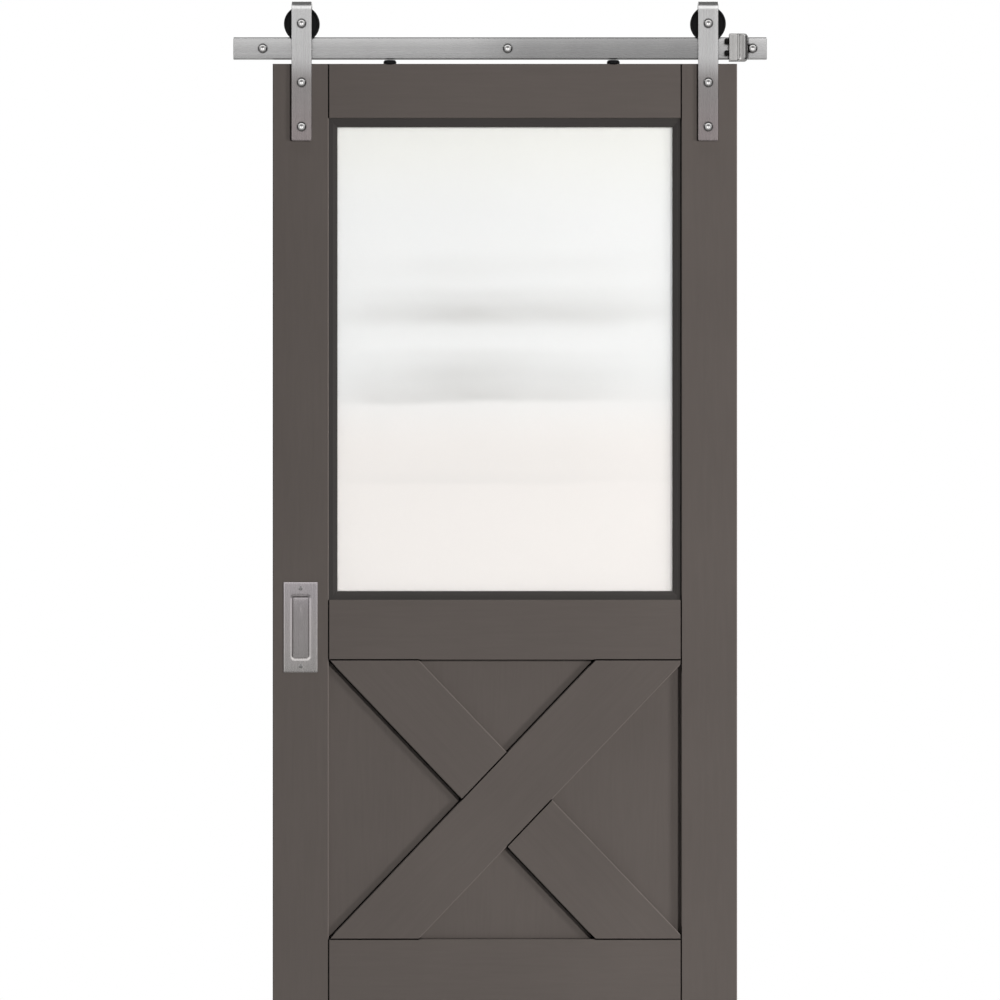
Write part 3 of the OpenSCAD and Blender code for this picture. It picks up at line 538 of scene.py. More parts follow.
def brushed_metal(name, colour, brush_turn, painted_light=(), crevice_shade=(2.5 * MM, 0.15), shaded_above=False):
    """Satin metal with hairlines along X once turned, with painted shade in its crevices.

    Each of its ramps of painted light and shade is an axis, two places along it and a ramp between them; the
    crevice's painted shade is a reach and a darkness, and `shaded_above` keeps that painted shade to the
    faces that look down.
    """
    material, tree, shader = new_material(name)
    hair = noise(tree, mapped(tree, (5, 3200, 3200), brush_turn), 1.0, 3, 0.6)
    band = noise(tree, mapped(tree, (1.5, 200, 200), brush_turn), 1.0, 3, 0.55)
    cloud = noise(tree, mapped(tree), 14, 2, 0.5)
    base = blended(tree, spread(tree, band, 0, 1, 0.25, 0.75), shade(colour, 0.93), shade(colour, 1.05))
    # painted light and shade: brightness ramps along the part's axes
    for axis, low, high, *stops in painted_light:
        base = blended(tree, 1.0, base, ramp(tree, along(tree, axis, low, high), *stops), "MULTIPLY")
    # painted shade in crevices
    dark = crevice(tree, *crevice_shade)
    if shaded_above:
        dark = blended(tree, where_facing(tree, "Z", (-0.35, 1.0), (-0.1, 0.0)), (1, 1, 1), dark)
    roughness = worked_out(tree, "ADD", spread(tree, hair, 0.20, 0.32), spread(tree, cloud, -0.02, 0.03))
    plug_in(tree, shader, blended(tree, 1.0, base, dark, "MULTIPLY"), roughness,
            bump(tree, hair, 0.004 * MM, 0.35), [("Metallic", 1.0)])
    return material


def turned_metal(name, colour, rough=SMOOTH, axis="Y"):
    """Plated fastener metal: small soft marks, a fine scuff, painted shade in its crevices, and a painted
    dark reflection on what doesn't face along the axis.
    """
    material, tree, shader = new_material(name)
    mark = noise(tree, mapped(tree), 260, 4, 0.6)
    scuff = noise(tree, mapped(tree, (400, 400, 2400)), 1.0, 2, 0.5)
    base = blended(tree, spread(tree, mark, 0, 1), shade(colour, 0.9), colour)
    # painted shade in crevices; painted dark reflection on the head's sides that don't face along the axis
    dark = crevice(tree, 3 * MM, 0.03, 0.75, 0.93)
    sides = where_facing(tree, axis, (-0.94, 1.0), (-0.90, 0.3), (0.90, 0.3), (0.94, 1.0))
    dark = blended(tree, 1.0, dark, sides, "MULTIPLY")
    plug_in(tree, shader, blended(tree, 1.0, base, dark, "MULTIPLY"), spread(tree, mark, *rough),
            bump(tree, scuff, 0.006 * MM, 0.4), [("Metallic", 1.0)])
    return material


def moulded(name, colour, rough, grain_scale, grain_height):
    """Moulded nylon or rubber: an even colour with a fine moulded texture."""
    material, tree, shader = new_material(name)
    fine = noise(tree, mapped(tree), grain_scale, 3, 0.6)
    cloud = noise(tree, mapped(tree), 60, 2, 0.5)
    base = blended(tree, spread(tree, cloud, 0, 1), shade(colour, 0.8), shade(colour, 1.25))
    plug_in(tree, shader, base, spread(tree, fine, rough - 0.06, rough + 0.08),
            bump(tree, fine, grain_height, 0.7), [("Specular IOR Level", 0.12)])
    return material


def bare_wood(name, colour):
    """Turned hardwood with its grain along X."""
    material, tree, shader = new_material(name)
    grain = noise(tree, mapped(tree, (12, 700, 700)), 1.0, 5, 0.6, 0.3)
    wood = blended(tree, spread(tree, grain, 0, 1), shade(colour, 0.62), colour)
    plug_in(tree, shader, wood, spread(tree, grain, 0.5, 0.68), bump(tree, grain, 0.05 * MM, 0.6))
    return material


def satin_glass(name, look):
    """Acid-etched glass: light passes but scatters, and long soft streaks of painted reflection lie across
    the pane's middle.
    """
    material, tree, shader = new_material(name)
    low, high = corners("glass_pane")
    height = along(tree, "Z", low[2], high[2])
    sway = noise(tree, mapped(tree, (1.6, 1, 4.0)), 1.0, 3, 0.5, 0.3)
    cross = noise(tree, mapped(tree, (2.5, 1, 9.0)), 1.0, 3, 0.55, 0.2)
    swayed = worked_out(tree, "ADD", height, spread(tree, sway, -0.012, 0.012))
    # painted reflection: soft bands across the pane's middle, strongest left of centre
    bands = ramp(tree, swayed, (0.0, 0.0), (0.235, 0.02), (0.245, 0.30), (0.275, 0.16), (0.36, 0.06),
                 (0.398, 0.05), (0.412, 0.95), (0.45, 0.75), (0.50, 0.35), (0.525, 0.05), (0.555, 0.20),
                 (0.59, 1.0), (0.632, 0.45), (0.66, 0.12), (0.70, 0.25), (0.74, 0.05), (0.80, 0.10),
                 (1.0, 0.06))
    patch = worked_out(tree, "MULTIPLY", bands, spread(tree, cross, 0.5, 1.0))
    side = ramp(tree, along(tree, "X", low[0], high[0]), (0.0, 0.25), (0.15, 0.7), (0.38, 1.0), (0.62, 0.75),
                (0.95, 0.25))
    streak = worked_out(tree, "MULTIPLY", patch, side)
    warm = ramp(tree, height, (0.0, look.glass_low), (0.30, look.glass_low), (0.48, look.glass_middle),
                (0.78, look.glass_middle), (1.0, look.glass_tint))
    etch = noise(tree, mapped(tree), 1500, 2, 0.5)
    plug_in(tree, shader, blended(tree, streak, warm, look.painted_reflection_tint), spread(tree, etch, 0.42, 0.5),
            bump(tree, etch, 0.008 * MM, 0.3), [("Transmission Weight", look.transmission), ("IOR", 1.5)])
    return material


FINISHES = {}


def finish_for(name):
    """The material of a slot or of a slot's variant, made the first time it is asked for."""
    look = bpy.context.scene.barn_door_finish
    # painted reflection and shade along each part: the straps darker and pinker lower down, the track darker
    # right of middle but lighter at its right end, the pull darker lower down and deeper in its recess, the
    # stop darker over its barrel towards the right
    strap_painted_reflection = ("Z", *reach_of("left_hanger", Z), (0.0, (0.55, 0.49, 0.49)), (0.40, (0.53, 0.50, 0.495)),
                   (0.62, 1.0), (1.0, 1.0))
    track_painted_reflection = ("X", *reach_of("track", X), (0.0, 0.88), (0.42, 0.84), (0.56, 0.60), (0.86, 0.58),
                   (0.93, 0.9), (1.0, 0.95))
    pull_painted_shade = ("Z", *reach_of("flush_pull", Z), (0.0, (0.88, 0.88, 0.86)), (0.5, (0.94, 0.92, 0.92)),
                  (1.0, (1.0, 0.97, 1.0)))
    recess_painted_shade = ("Y", *reach_of("flush_pull", Y), (0.0, 1.0), (0.45, 0.95), (0.75, 0.80))
    stop_painted_shade = ("X", *reach_of("stop_body", X), (0.0, 1.0), (0.46, 1.0), (0.56, 0.78), (1.0, 0.65))
    # each finish's maker and settings
    makers = {
        "dowel_wood": (bare_wood, (0.52, 0.36, 0.21)),
        "frosted_glass": (satin_glass, look),
        "black_rubber": (moulded, look.rubber, 0.58, 900, 0.03 * MM),
        "black_fasteners": (moulded, look.rubber, 0.38, 700, 0.01 * MM),
        "black_nylon": (moulded, look.nylon, 0.40, 1100, 0.012 * MM),
        "satin_steel": (brushed_metal, look.steel, UPRIGHT),
        # a pair after the ramps is the reach and darkness of painted shade in crevices; True keeps it to
        # faces that look down
        "strap_steel": (brushed_metal, look.steel, UPRIGHT, [strap_painted_reflection], (6 * MM, 0.0)),
        "track_steel": (brushed_metal, look.steel, (0, 0, 0), [track_painted_reflection], (6 * MM, 0.0)),
        "pull_nickel": (brushed_metal, look.nickel, UPRIGHT, [pull_painted_shade, recess_painted_shade], (9 * MM, 0.02),
                        True),
        "cast_satin_metal": (brushed_metal, look.cast, UPRIGHT, [stop_painted_shade]),
        "bright_fasteners": (turned_metal, look.bright),
        "floor_fasteners": (turned_metal, look.bright, SMOOTH, "Z"),
        # painted shade: the pull's screws drawn 0.4 as bright, for the shade in their cross recesses; they
        # are also rougher
        "dull_fasteners": (turned_metal, shade(look.bright, 0.4), (0.25, 0.35)),
        "bush_steel": (turned_metal, look.steel, (0.25, 0.4)),
        "bearing_steel": (turned_metal, (0.72, 0.72, 0.72)),
    }
    if name not in FINISHES:
        maker, *settings = makers[name]
        FINISHES[name] = maker(name, *settings)
    return FINISHES[name]


def finish_node(node, material):
    """Gives a CAD node that stays in view its material."""
    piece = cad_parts[node]
    piece.data.materials.clear()
    piece.data.materials.append(material)


# ---------------------------------------------------------------- settings


def size_setting(name, description, default, low, high):
    """A length that a user can change, given in millimetres."""
    return FloatProperty(name=name, description=description, default=default * MM, min=low * MM,
                         max=high * MM, unit="LENGTH")


def colour_setting(name, description, default):
    """A colour that a user can change."""
    return FloatVectorProperty(name=name, description=description, default=default, min=0, max=1,
                               subtype="COLOR")


def share_setting(name, description, default):
    """A share from 0 to 1 that a user can change."""
    return FloatProperty(name=name, description=description, default=default, min=0, max=1,
                         subtype="FACTOR")


def light_setting(name, description, default):
    """A brightness that a user can change."""
    return FloatProperty(name=name, description=description, default=default, min=0, max=3)


class BARNDOOR_PG_hardware(PropertyGroup):
    """Sizes of the metalwork that the surfaces add to the plain solids."""

    edge: size_setting("Edge rounding", "Rounding along the straps' and plates' edges", 1.5, 0.2, 2)
    track_edge: size_setting("Track edge", "Rounding along the track's long edges", 3.2, 1, 3.9)
    strap_bend: size_setting("Strap bend", "Outer radius of the straps' bends", 12, 8, 16)
    lead_in: size_setting("Lead-in", "Length of strap that leans before its bend", 7, 1, 12)
    strap_corner: size_setting("Strap corner", "Corner radius at a strap's lower end", 3, 1, 8)
    rear_leg_drop: size_setting("Rear leg", "Rear leg of a strap below its axle", 19, 12, 22)
    head_dome: size_setting("Head dome", "Rise of a bolt head's domed top", 0.7, 0, 2)
    head_dimple: size_setting("Head dimple", "Depth of the dimple in a bolt head", 1.3, 0, 2)
    wood_thread: size_setting("Wall screw pitch", "Thread pitch of the wall screws", 3.6, 2, 6)
    bolt_thread: size_setting("Bolt pitch", "Thread pitch of the bolts", 1.5, 1, 2)
    recess_w: size_setting("Recess width", "Width of the pull's finger recess", 34, 24, 42)
    recess_h: size_setting("Recess height", "Height of the pull's finger recess", 123, 90, 140)
    recess_lip: size_setting("Recess lip", "Width of the sloped lip round the recess", 4, 1, 6)


class BARNDOOR_PG_finish(PropertyGroup):
    """Colours and strengths of the finishes."""

    paint: colour_setting("Leaf paint", "Colour of the leaf", (0.110, 0.097, 0.091))
    bead_paint: colour_setting("Bead paint", "Colour of the glazing beads", (0.0525, 0.0495, 0.0485))
    steel: colour_setting("Satin steel", "Colour of the straps and track", (0.575, 0.57, 0.57))
    nickel: colour_setting("Satin nickel", "Colour of the flush pull", (0.46, 0.44, 0.44))
    cast: colour_setting("Stop metal", "Colour of the cast stop", (0.52, 0.51, 0.50))
    bright: colour_setting("Bright metal", "Colour of the bolts and screws", (0.60, 0.59, 0.585))
    nylon: colour_setting("Nylon", "Colour of the wheels and discs", (0.003, 0.003, 0.0035))
    rubber: colour_setting("Rubber", "Colour of the bumpers and sealing tape", (0.004, 0.004, 0.004))
    glass_tint: colour_setting("Glass", "Colour of the etched glass", (0.93, 0.935, 0.905))
    glass_middle: colour_setting("Glass, middle", "Cooler colour across the middle", (0.93, 0.94, 0.94))
    glass_low: colour_setting("Glass, lower part", "Warmer colour towards the foot", (0.93, 0.905, 0.885))
    # colour of the painted reflection streaks on the glass
    painted_reflection_tint: colour_setting("Glass streaks", "Colour of the glass's streaks", (0.66, 0.66, 0.65))
    transmission: share_setting("Transmission", "Share of light that passes the glass", 0.75)
    # painted shade: reach of the joints' dark line, height of step it covers, and reach of a board's painted
    # shadow on the panel
    joint_reach: size_setting("Joint reach", "Width of joint that holds a dark line", 4, 0, 20)
    step_reach: size_setting("Step reach", "Height of step that holds a dark line", 14, 0, 40)
    contact_reach: size_setting("Contact reach", "How far a board's edge darkens the panel", 6, 0, 20)
    # painted highlight: how much paler the flanks that face right are drawn
    lit_edge_highlight: FloatProperty(name="Edge highlight", description="How much paler the edges on the right are",
                             default=1.25, min=1, max=3)
    # darkness of the painted shade in the joints
    joint_dark: share_setting("Joint shade", "Darkness of the line in the joints", 0.01)
    grain_contrast: share_setting("Grain contrast", "How much the grain darkens the paint", 0.06)
    grain_depth: share_setting("Grain depth", "Strength of the grain's relief", 0.5)


class BARNDOOR_PG_stage(PropertyGroup):
    """Camera, lights and floor."""

    lens: FloatProperty(name="Lens", description="Focal length in millimetres", default=200, min=35, max=400)
    view_width: FloatProperty(name="View width", description="Width in view at the leaf's front face",
                              default=1.968, min=0.5, max=6, unit="LENGTH")
    view_x: FloatProperty(name="View centre X", description="Middle of the view, along the track",
                          default=-0.01515, unit="LENGTH")
    view_z: FloatProperty(name="View centre Z", description="Middle of the view, up", default=-0.8895,
                          unit="LENGTH")
    floor_radius: FloatProperty(name="Floor radius", description="Radius of the round floor", default=1.9,
                                min=0.5, max=6, unit="LENGTH")
    fill: light_setting("Fill", "Strength of the even light from the room", 0.03)
    fill_behind: light_setting("Fill behind", "Strength of the even light from behind", 0.8)
    shine: light_setting("Shine", "Strength of what the metal reflects", 1.2)
    through_glass: light_setting("Behind the glass", "Brightness seen through the glass", 0.97)
    floor_columns: IntProperty(name="Floor sides", description="Sides of the round floor", default=96,
                               min=24, max=256)


# ---------------------------------------------------------------- pieces


class BARNDOOR_OT_paint_leaf(Operator):
    """Paint the stiles, rails, panel and crossed boards, each with grain along its own length."""

    bl_idname = "barndoor.paint_leaf"
    bl_label = "Paint the leaf"

    def execute(self, context):
        look = context.scene.barn_door_finish
        width, _, height = 2 * half_size("front_brace_long")
        # if the board's two edges ran between opposite corners, W sin a - H cos a would be its width
        board_w = 128 * MM
        lean = math.degrees(math.atan2(height, width) + math.asin(board_w / math.hypot(width, height)))
        grain = dict(FRAME_BOARDS)
        for face in FACES:
            grain[f"{face}_brace_long"] = lean
            grain[f"{face}_brace_upper"] = grain[f"{face}_brace_lower"] = 180 - lean
        made = {}
        for node, angle in grain.items():
            if angle not in made:
                made[angle] = painted_wood(f"painted_wood_{round(angle)}", look.paint, angle, look)
            finish_node(node, made[angle])
        panel = painted_wood("painted_panel", look.paint, 90, look, reach_of("right_stile", X)[0])
        finish_node("lower_panel", panel)
        finish_node("rail_dowels", finish_for("dowel_wood"))
        return {"FINISHED"}


class BARNDOOR_OT_glaze(Operator):
    """Finish the glass, its beads, its sealing tape and its setting blocks."""

    bl_idname = "barndoor.glaze"
    bl_label = "Glaze the leaf"

    def execute(self, context):
        look = context.scene.barn_door_finish
        upright = painted_wood("painted_bead_90", look.bead_paint, 90, look)
        level = painted_wood("painted_bead_0", look.bead_paint, 0, look)
        for face in FACES:
            for place, paint in (("left", upright), ("right", upright), ("top", level), ("bottom", level)):
                finish_node(f"{face}_bead_{place}", paint)
            finish_node(f"{face}_glazing_tape", finish_for("black_rubber"))
        finish_node("setting_blocks", finish_for("black_rubber"))
        finish_node("glass_pane", finish_for("frosted_glass"))
        return {"FINISHED"}


class BARNDOOR_OT_hangers(Operator):
    """Bend the two strap hangers over their wheels."""

    bl_idname = "barndoor.hangers"
    bl_label = "Make the hangers"

    def execute(self, context):
        sizes = context.scene.barn_door_hardware
        for side in SIDES:
            low, high = corners(f"{side}_hanger")
            axle_z = middle(f"{side}_wheel")[2]
            thick = LEAF_FRONT - low[1]
            turn_in, back, up = self.bend(sizes.strap_bend - thick / 2, sizes.lead_in)
            top = high[2] - thick / 2 - up[-1]
            front, rear = low[1] + thick / 2, high[1] - thick / 2
            leg = low[2] + near_ends(top - low[2], sizes.strap_corner, 9)[:-9]
            rear_low = axle_z - sizes.rear_leg_drop
            rear_leg = rear_low + near_ends(top - rear_low, sizes.edge, 7)[:-7]
            # side view of the bar's middle line: up, round, across, round and down
            y = np.concatenate([np.full(len(leg), front), front + back, rear - back[::-1],
                                np.full(len(rear_leg), rear)])
            z = np.concatenate([leg, top + up, top + up[::-1], rear_leg[::-1]])
            turn = np.concatenate([np.zeros(len(leg)), turn_in, math.pi - turn_in[::-1],
                                   np.full(len(rear_leg), math.pi)])
            far = high[2] - low[2]
            from_start = z - low[2] + far * (np.arange(len(z)) >= len(leg))
            from_end = z - rear_low + far * (np.arange(len(z)) < len(z) - len(rear_leg))
            narrow = round_in(from_start, sizes.strap_corner) + round_in(from_end, sizes.edge)
            thin = round_in(from_start, sizes.edge) + round_in(from_end, sizes.edge)
            section = rounded_rectangles((high[0] - low[0]) / 2 - narrow, thick / 2 - thin,
                                         np.full(len(z), sizes.edge))
            # across the bar, the section's second axis points outwards: -Y at first, then up, then +Y
            grid = np.stack([(low[0] + high[0]) / 2 + section[..., 0],
                             y[:, None] - section[..., 1] * np.cos(turn)[:, None],
                             z[:, None] + section[..., 1] * np.sin(turn)[:, None]], -1)
            Shells().add(grid).build(f"{side}_strap", "door", "satin_steel", [f"{side}_hanger"],
                                     "strap_steel")
        return {"FINISHED"}

    @staticmethod
    def bend(radius, lead):
        """Turn, way back and way up along a bar's middle line as it bends from upright to level.

        Over the lead-in the turn grows evenly from 0 to LEAD_TURN, so the way back is half the turn
        times the way up; after it comes a circular arc.
        """
        share = np.linspace(0, 1, 8)[:-1]
        arc = np.linspace(LEAD_TURN, math.pi / 2, 16)
        back = lead * LEAD_TURN / 2 + radius * (math.cos(LEAD_TURN) - np.cos(arc))
        up = lead + radius * (np.sin(arc) - math.sin(LEAD_TURN))
        turn = np.concatenate([LEAD_TURN * share, arc])
        back = np.concatenate([lead * LEAD_TURN / 2 * share ** 2, back])
        return turn, back, np.concatenate([lead * share, up])


class BARNDOOR_OT_bolts(Operator):
    """Make the strap bolts and axle bolts with their nuts."""

    bl_idname = "barndoor.bolts"
    bl_label = "Make the bolts"

    def execute(self, context):
        sizes = context.scene.barn_door_hardware
        low, high = corners("hanger_bolts")
        head = reach_of("left_hanger", Y)[0] - low[1]
        heights = (high[2] - HEAD_CORNERS / 2, low[2] + HEAD_CORNERS / 2)
        nut_y = reach_of("hanger_nuts", Y)
        bolts, nuts = Shells(), Shells()
        for side in SIDES:
            x = middle(f"{side}_hanger")[0]
            for z in heights:
                self.bolt(bolts, nuts, sizes, (x, 0, z), low[1] + head, head, *nut_y)
        bolts.build("strap_bolts", "door", "bright_fasteners", ["hanger_bolts"])
        nuts.build("strap_nuts", "door", "bright_fasteners", ["hanger_nuts"])
        nuts = Shells()
        nut_y = reach_of("axle_nuts", Y)
        for side in SIDES:
            bolt = Shells()
            front = reach_of(f"{side}_axle_bolt", Y)[0]
            self.bolt(bolt, nuts, sizes, middle(f"{side}_wheel"), front + head, head, *nut_y)
            bolt.build(f"{side}_wheel_bolt", "door", "bright_fasteners", [f"{side}_axle_bolt"])
        nuts.build("wheel_nuts", "door", "bright_fasteners", ["axle_nuts"])
        return {"FINISHED"}

    @staticmethod
    def bolt(bolts, nuts, sizes, centre, face_y, head, nut_y0, nut_y1):
        """One bolt from the face under its head to the end of its nut, and that nut."""
        body = head - sizes.head_dome
        hex_head(bolts, centre, face_y, body, sizes.head_dome, sizes.head_dimple)
        slack, thread_depth = 0.05 * MM, 0.8 * MM
        thread_from, plain_r = nut_y0 - 1 * MM, SHANK_R - slack
        plain = [(plain_r, face_y - UNDER_HEAD), (plain_r, thread_from)]
        bolts.add(turned(Y, plain, (centre[0], 0, centre[2]), 40))
        threaded_rod(bolts, centre, thread_from, nut_y1, SHANK_R, thread_depth, sizes.bolt_thread)
        hex_nut(nuts, centre, nut_y0, nut_y1, SHANK_R + slack)


class BARNDOOR_OT_wheels(Operator):
    """Turn the grooved wheels and finish their bearings and bushes."""

    bl_idname = "barndoor.wheels"
    bl_label = "Make the wheels"

    def execute(self, context):
        running_gap, side_play, ease = 0.1 * MM, 1 * MM, 0.9 * MM
        lip_width, ring_width, dish, slope = 2 * MM, 4 * MM, 1.4 * MM, 1 * MM
        groove = half_size("track")[Y] + side_play
        for side in SIDES:
            centre = middle(f"{side}_wheel")
            _, half, flange = half_size(f"{side}_wheel")
            tread = centre[2] - reach_of("track", Z)[1] - running_gap
            bore = half_size(f"{side}_bearing_outer")[Z]
            back = reach_of(f"{side}_bearing_outer", Y)[0] - centre[1]
            lip, hub, rim = bore - lip_width, bore + ring_width, flange - ring_width
            # the section's (radius, offset from the middle plane), front to rear and back down the bore
            outline = [(bore, back), (lip, back), (lip, -half), (hub, -half), (hub + slope, dish - half),
                       (rim - slope, dish - half), (rim, -half), (flange, -half), (flange, -groove),
                       (tread, -groove), (tread, groove), (flange, groove), (flange, half), (rim, half),
                       (rim - slope, half - dish), (hub + slope, half - dish), (hub, half), (bore, half)]
            wheel = turned(Y, eased(outline, ease), centre, 128)
            Shells().add(wheel, ring=True).build(f"{side}_grooved_wheel", f"{side}_wheel", "black_nylon",
                                                 [f"{side}_wheel"])
            for part in ("bearing_inner", "bearing_outer", "bearing_balls"):
                finish_node(f"{side}_{part}", finish_for("bearing_steel"))
        finish_node("axle_bushes", finish_for("bush_steel"))
        return {"FINISHED"}


class BARNDOOR_OT_track(Operator):
    """Make the track bar, its stand-offs and its wall screws."""

    bl_idname = "barndoor.track"
    bl_label = "Make the track"

    def execute(self, context):
        sizes = context.scene.barn_door_hardware
        half, centre = half_size("track"), middle("track")
        start, end = reach_of("track", X)
        x = start + near_ends(end - start, sizes.edge, spans=12)
        shrink = round_in(np.minimum(x - start, end - x), sizes.edge)
        rings = rounded_rectangles(half[1] - shrink, half[2] - shrink, sizes.track_edge - shrink, 10)
        grid = np.stack([np.broadcast_to(x[:, None], rings.shape[:2]), centre[1] + rings[..., 0],
                         centre[2] + rings[..., 1]], -1)
        Shells().add(grid).build("track_bar", "track", "satin_steel", ["track"], "track_steel")
        screws = Shells()
        bore, ease = SHANK_R + 0.2 * MM, 0.7 * MM
        for place in ("left", "centre", "right"):
            node = f"{place}_spacer"
            centre = (middle(node)[0], 0, 0)
            outer = half_size(node)[X]
            front, rear = reach_of(node, Y)
            tube = eased([(bore, front), (outer, front), (outer, rear), (bore, rear)], ease)
            Shells().add(turned(Y, tube, centre, 72), ring=True).build(
                f"{place}_stand_off", "track", "satin_steel", [node])
            self.wall_screw(screws, sizes, centre, *reach_of("wall_screws", Y))
        screws.build("lag_screws", "track", "bright_fasteners", ["wall_screws"])
        return {"FINISHED"}

    @staticmethod
    def wall_screw(screws, sizes, centre, y0, y1):
        """A screw from its head at y0, through the track and its stand-off, to its point at y1."""
        face_y = reach_of("track", Y)[0]
        thread_from, crest, depth, point = -0.5 * MM, SHANK_R - 0.4 * MM, 1.3 * MM, 9 * MM
        hex_head(screws, centre, face_y, face_y - y0 - sizes.head_dome, sizes.head_dome, sizes.head_dimple)
        screws.add(turned(Y, [(SHANK_R, face_y - UNDER_HEAD), (SHANK_R, 0)], centre, 40))
        threaded_rod(screws, centre, thread_from, y1, crest, depth, sizes.wood_thread, point)


class BARNDOOR_OT_stop(Operator):
    """Make the clamped stop with its two bumpers and its set screws."""

    bl_idname = "barndoor.stop"
    bl_label = "Make the stop"

    def execute(self, context):
        low, high = corners("stop_body")
        rear, track_back = reach_of("track", Y)
        track_foot, track_top = reach_of("track", Z)
        front, ease, top_corner, foot_corner, fade = low[1], 1.2 * MM, 5 * MM, 8 * MM, 5 * MM
        plan = self.plan(low[0], high[0], front, rear)
        row = np.arange(len(plan))
        behind = (row >= len(plan) - 2) | (row == 0)
        z = low[2] + near_ends(high[2] - low[2], foot_corner, 10)
        hair = 0.05 * MM
        edges = [track_foot - hair, track_foot, track_top, track_top + hair]
        z = np.sort(np.concatenate([z, edges]))[:, None]
        from_end = np.minimum(z - low[2], high[2] - z)
        shrink = round_in(from_end, ease)
        over = (z < track_foot - hair / 5) | (z > track_top + hair / 5)
        mid_x, mid_y = (low[0] + high[0]) / 2, (front + rear) / 2
        # the barrel's right corners are rounder than the cheek's, more so at the foot
        above = z > middle("track")[2]
        corner = np.where(above, round_in(from_end, top_corner), round_in(from_end, foot_corner))
        narrow = np.where(plan[:, 0] > mid_x, np.maximum(corner, shrink), shrink)
        # near the top and bottom the plan shrinks towards its middle; past the track it reaches back
        x = plan[:, 0] - np.sign(plan[:, 0] - mid_x) * narrow
        forward = np.clip((mid_y - plan[:, 1]) / fade, 0, 1)
        y = plan[:, 1] + np.where(behind, -shrink * over, shrink * forward)
        y = np.where(behind & over, track_back - shrink, y)
        body = Shells().add(np.stack([x, y, np.broadcast_to(z, x.shape)], -1))
        # the clip behind the track, narrower than the body and as high as its upper part
        clip_height, clip_left, clip_right = 26 * MM, 3 * MM, 5 * MM
        clip_low = (low[0] + clip_left, track_back, high[2] - clip_height)
        clip_high = (high[0] - clip_right, high[1], high[2])
        slab(body, clip_low, clip_high, 2 * MM, 0.8 * MM, Y)
        body.build("track_stop", "track", "cast_satin_metal", ["stop_body"])
        finish_node("stop_set_screws", finish_for("black_fasteners"))
        for place in ("upper", "lower"):
            self.bumper(f"{place}_bumper")
        return {"FINISHED"}

    @staticmethod
    def plan(left, right, front, rear):
        """Plan of the stop's front, left to right: a flat cheek, a fine step, and a half-round barrel.

        The barrel is a half circle, (c + r cos a, c + r sin a), held between two depths behind the front.
        """
        cheek, step, shallow, deep = 16 * MM, 1.6 * MM, 0.4 * MM, 2.2 * MM
        barrel = (right - left - cheek) / 2
        flat = eased([(left, rear), (left, front), (left + cheek, front), (left + cheek, front + step)],
                     2 * MM, 7, closed=False)
        turn = np.linspace(math.pi, 2 * math.pi, 25)[1:]
        x = right - barrel + barrel * np.cos(turn)
        y = front + barrel + barrel * np.sin(turn)
        y = np.where(turn < 1.5 * math.pi, np.minimum(y, front + deep), y)
        round_front = np.stack([x, np.maximum(y, front + shallow)], -1)
        return np.concatenate([flat, round_front, [(right, rear), (right, rear)]])

    @staticmethod
    def bumper(node):
        """A rubber bumper turned about X: a rounded nose, and a shallow waist near its seat."""
        centre = middle(node)
        left, right = reach_of(node, X)
        radius, length = half_size(node)[Z], right - left
        nose, slope, waist = radius - 1.2 * MM, 2.2 * MM, radius - 0.7 * MM
        outline = [(0, 0), (nose, 0), (radius, slope), (radius, length * 0.55), (waist, length * 0.6),
                   (waist, length * 0.68), (radius, length * 0.73), (radius, length)]
        section = eased(outline, 1.1 * MM, 6, closed=False)[1:]
        rubber = turned(X, section, (left, centre[1], centre[2]), 56)
        Shells().add(rubber).build(f"{node}_rubber", "track", "black_rubber", [node])


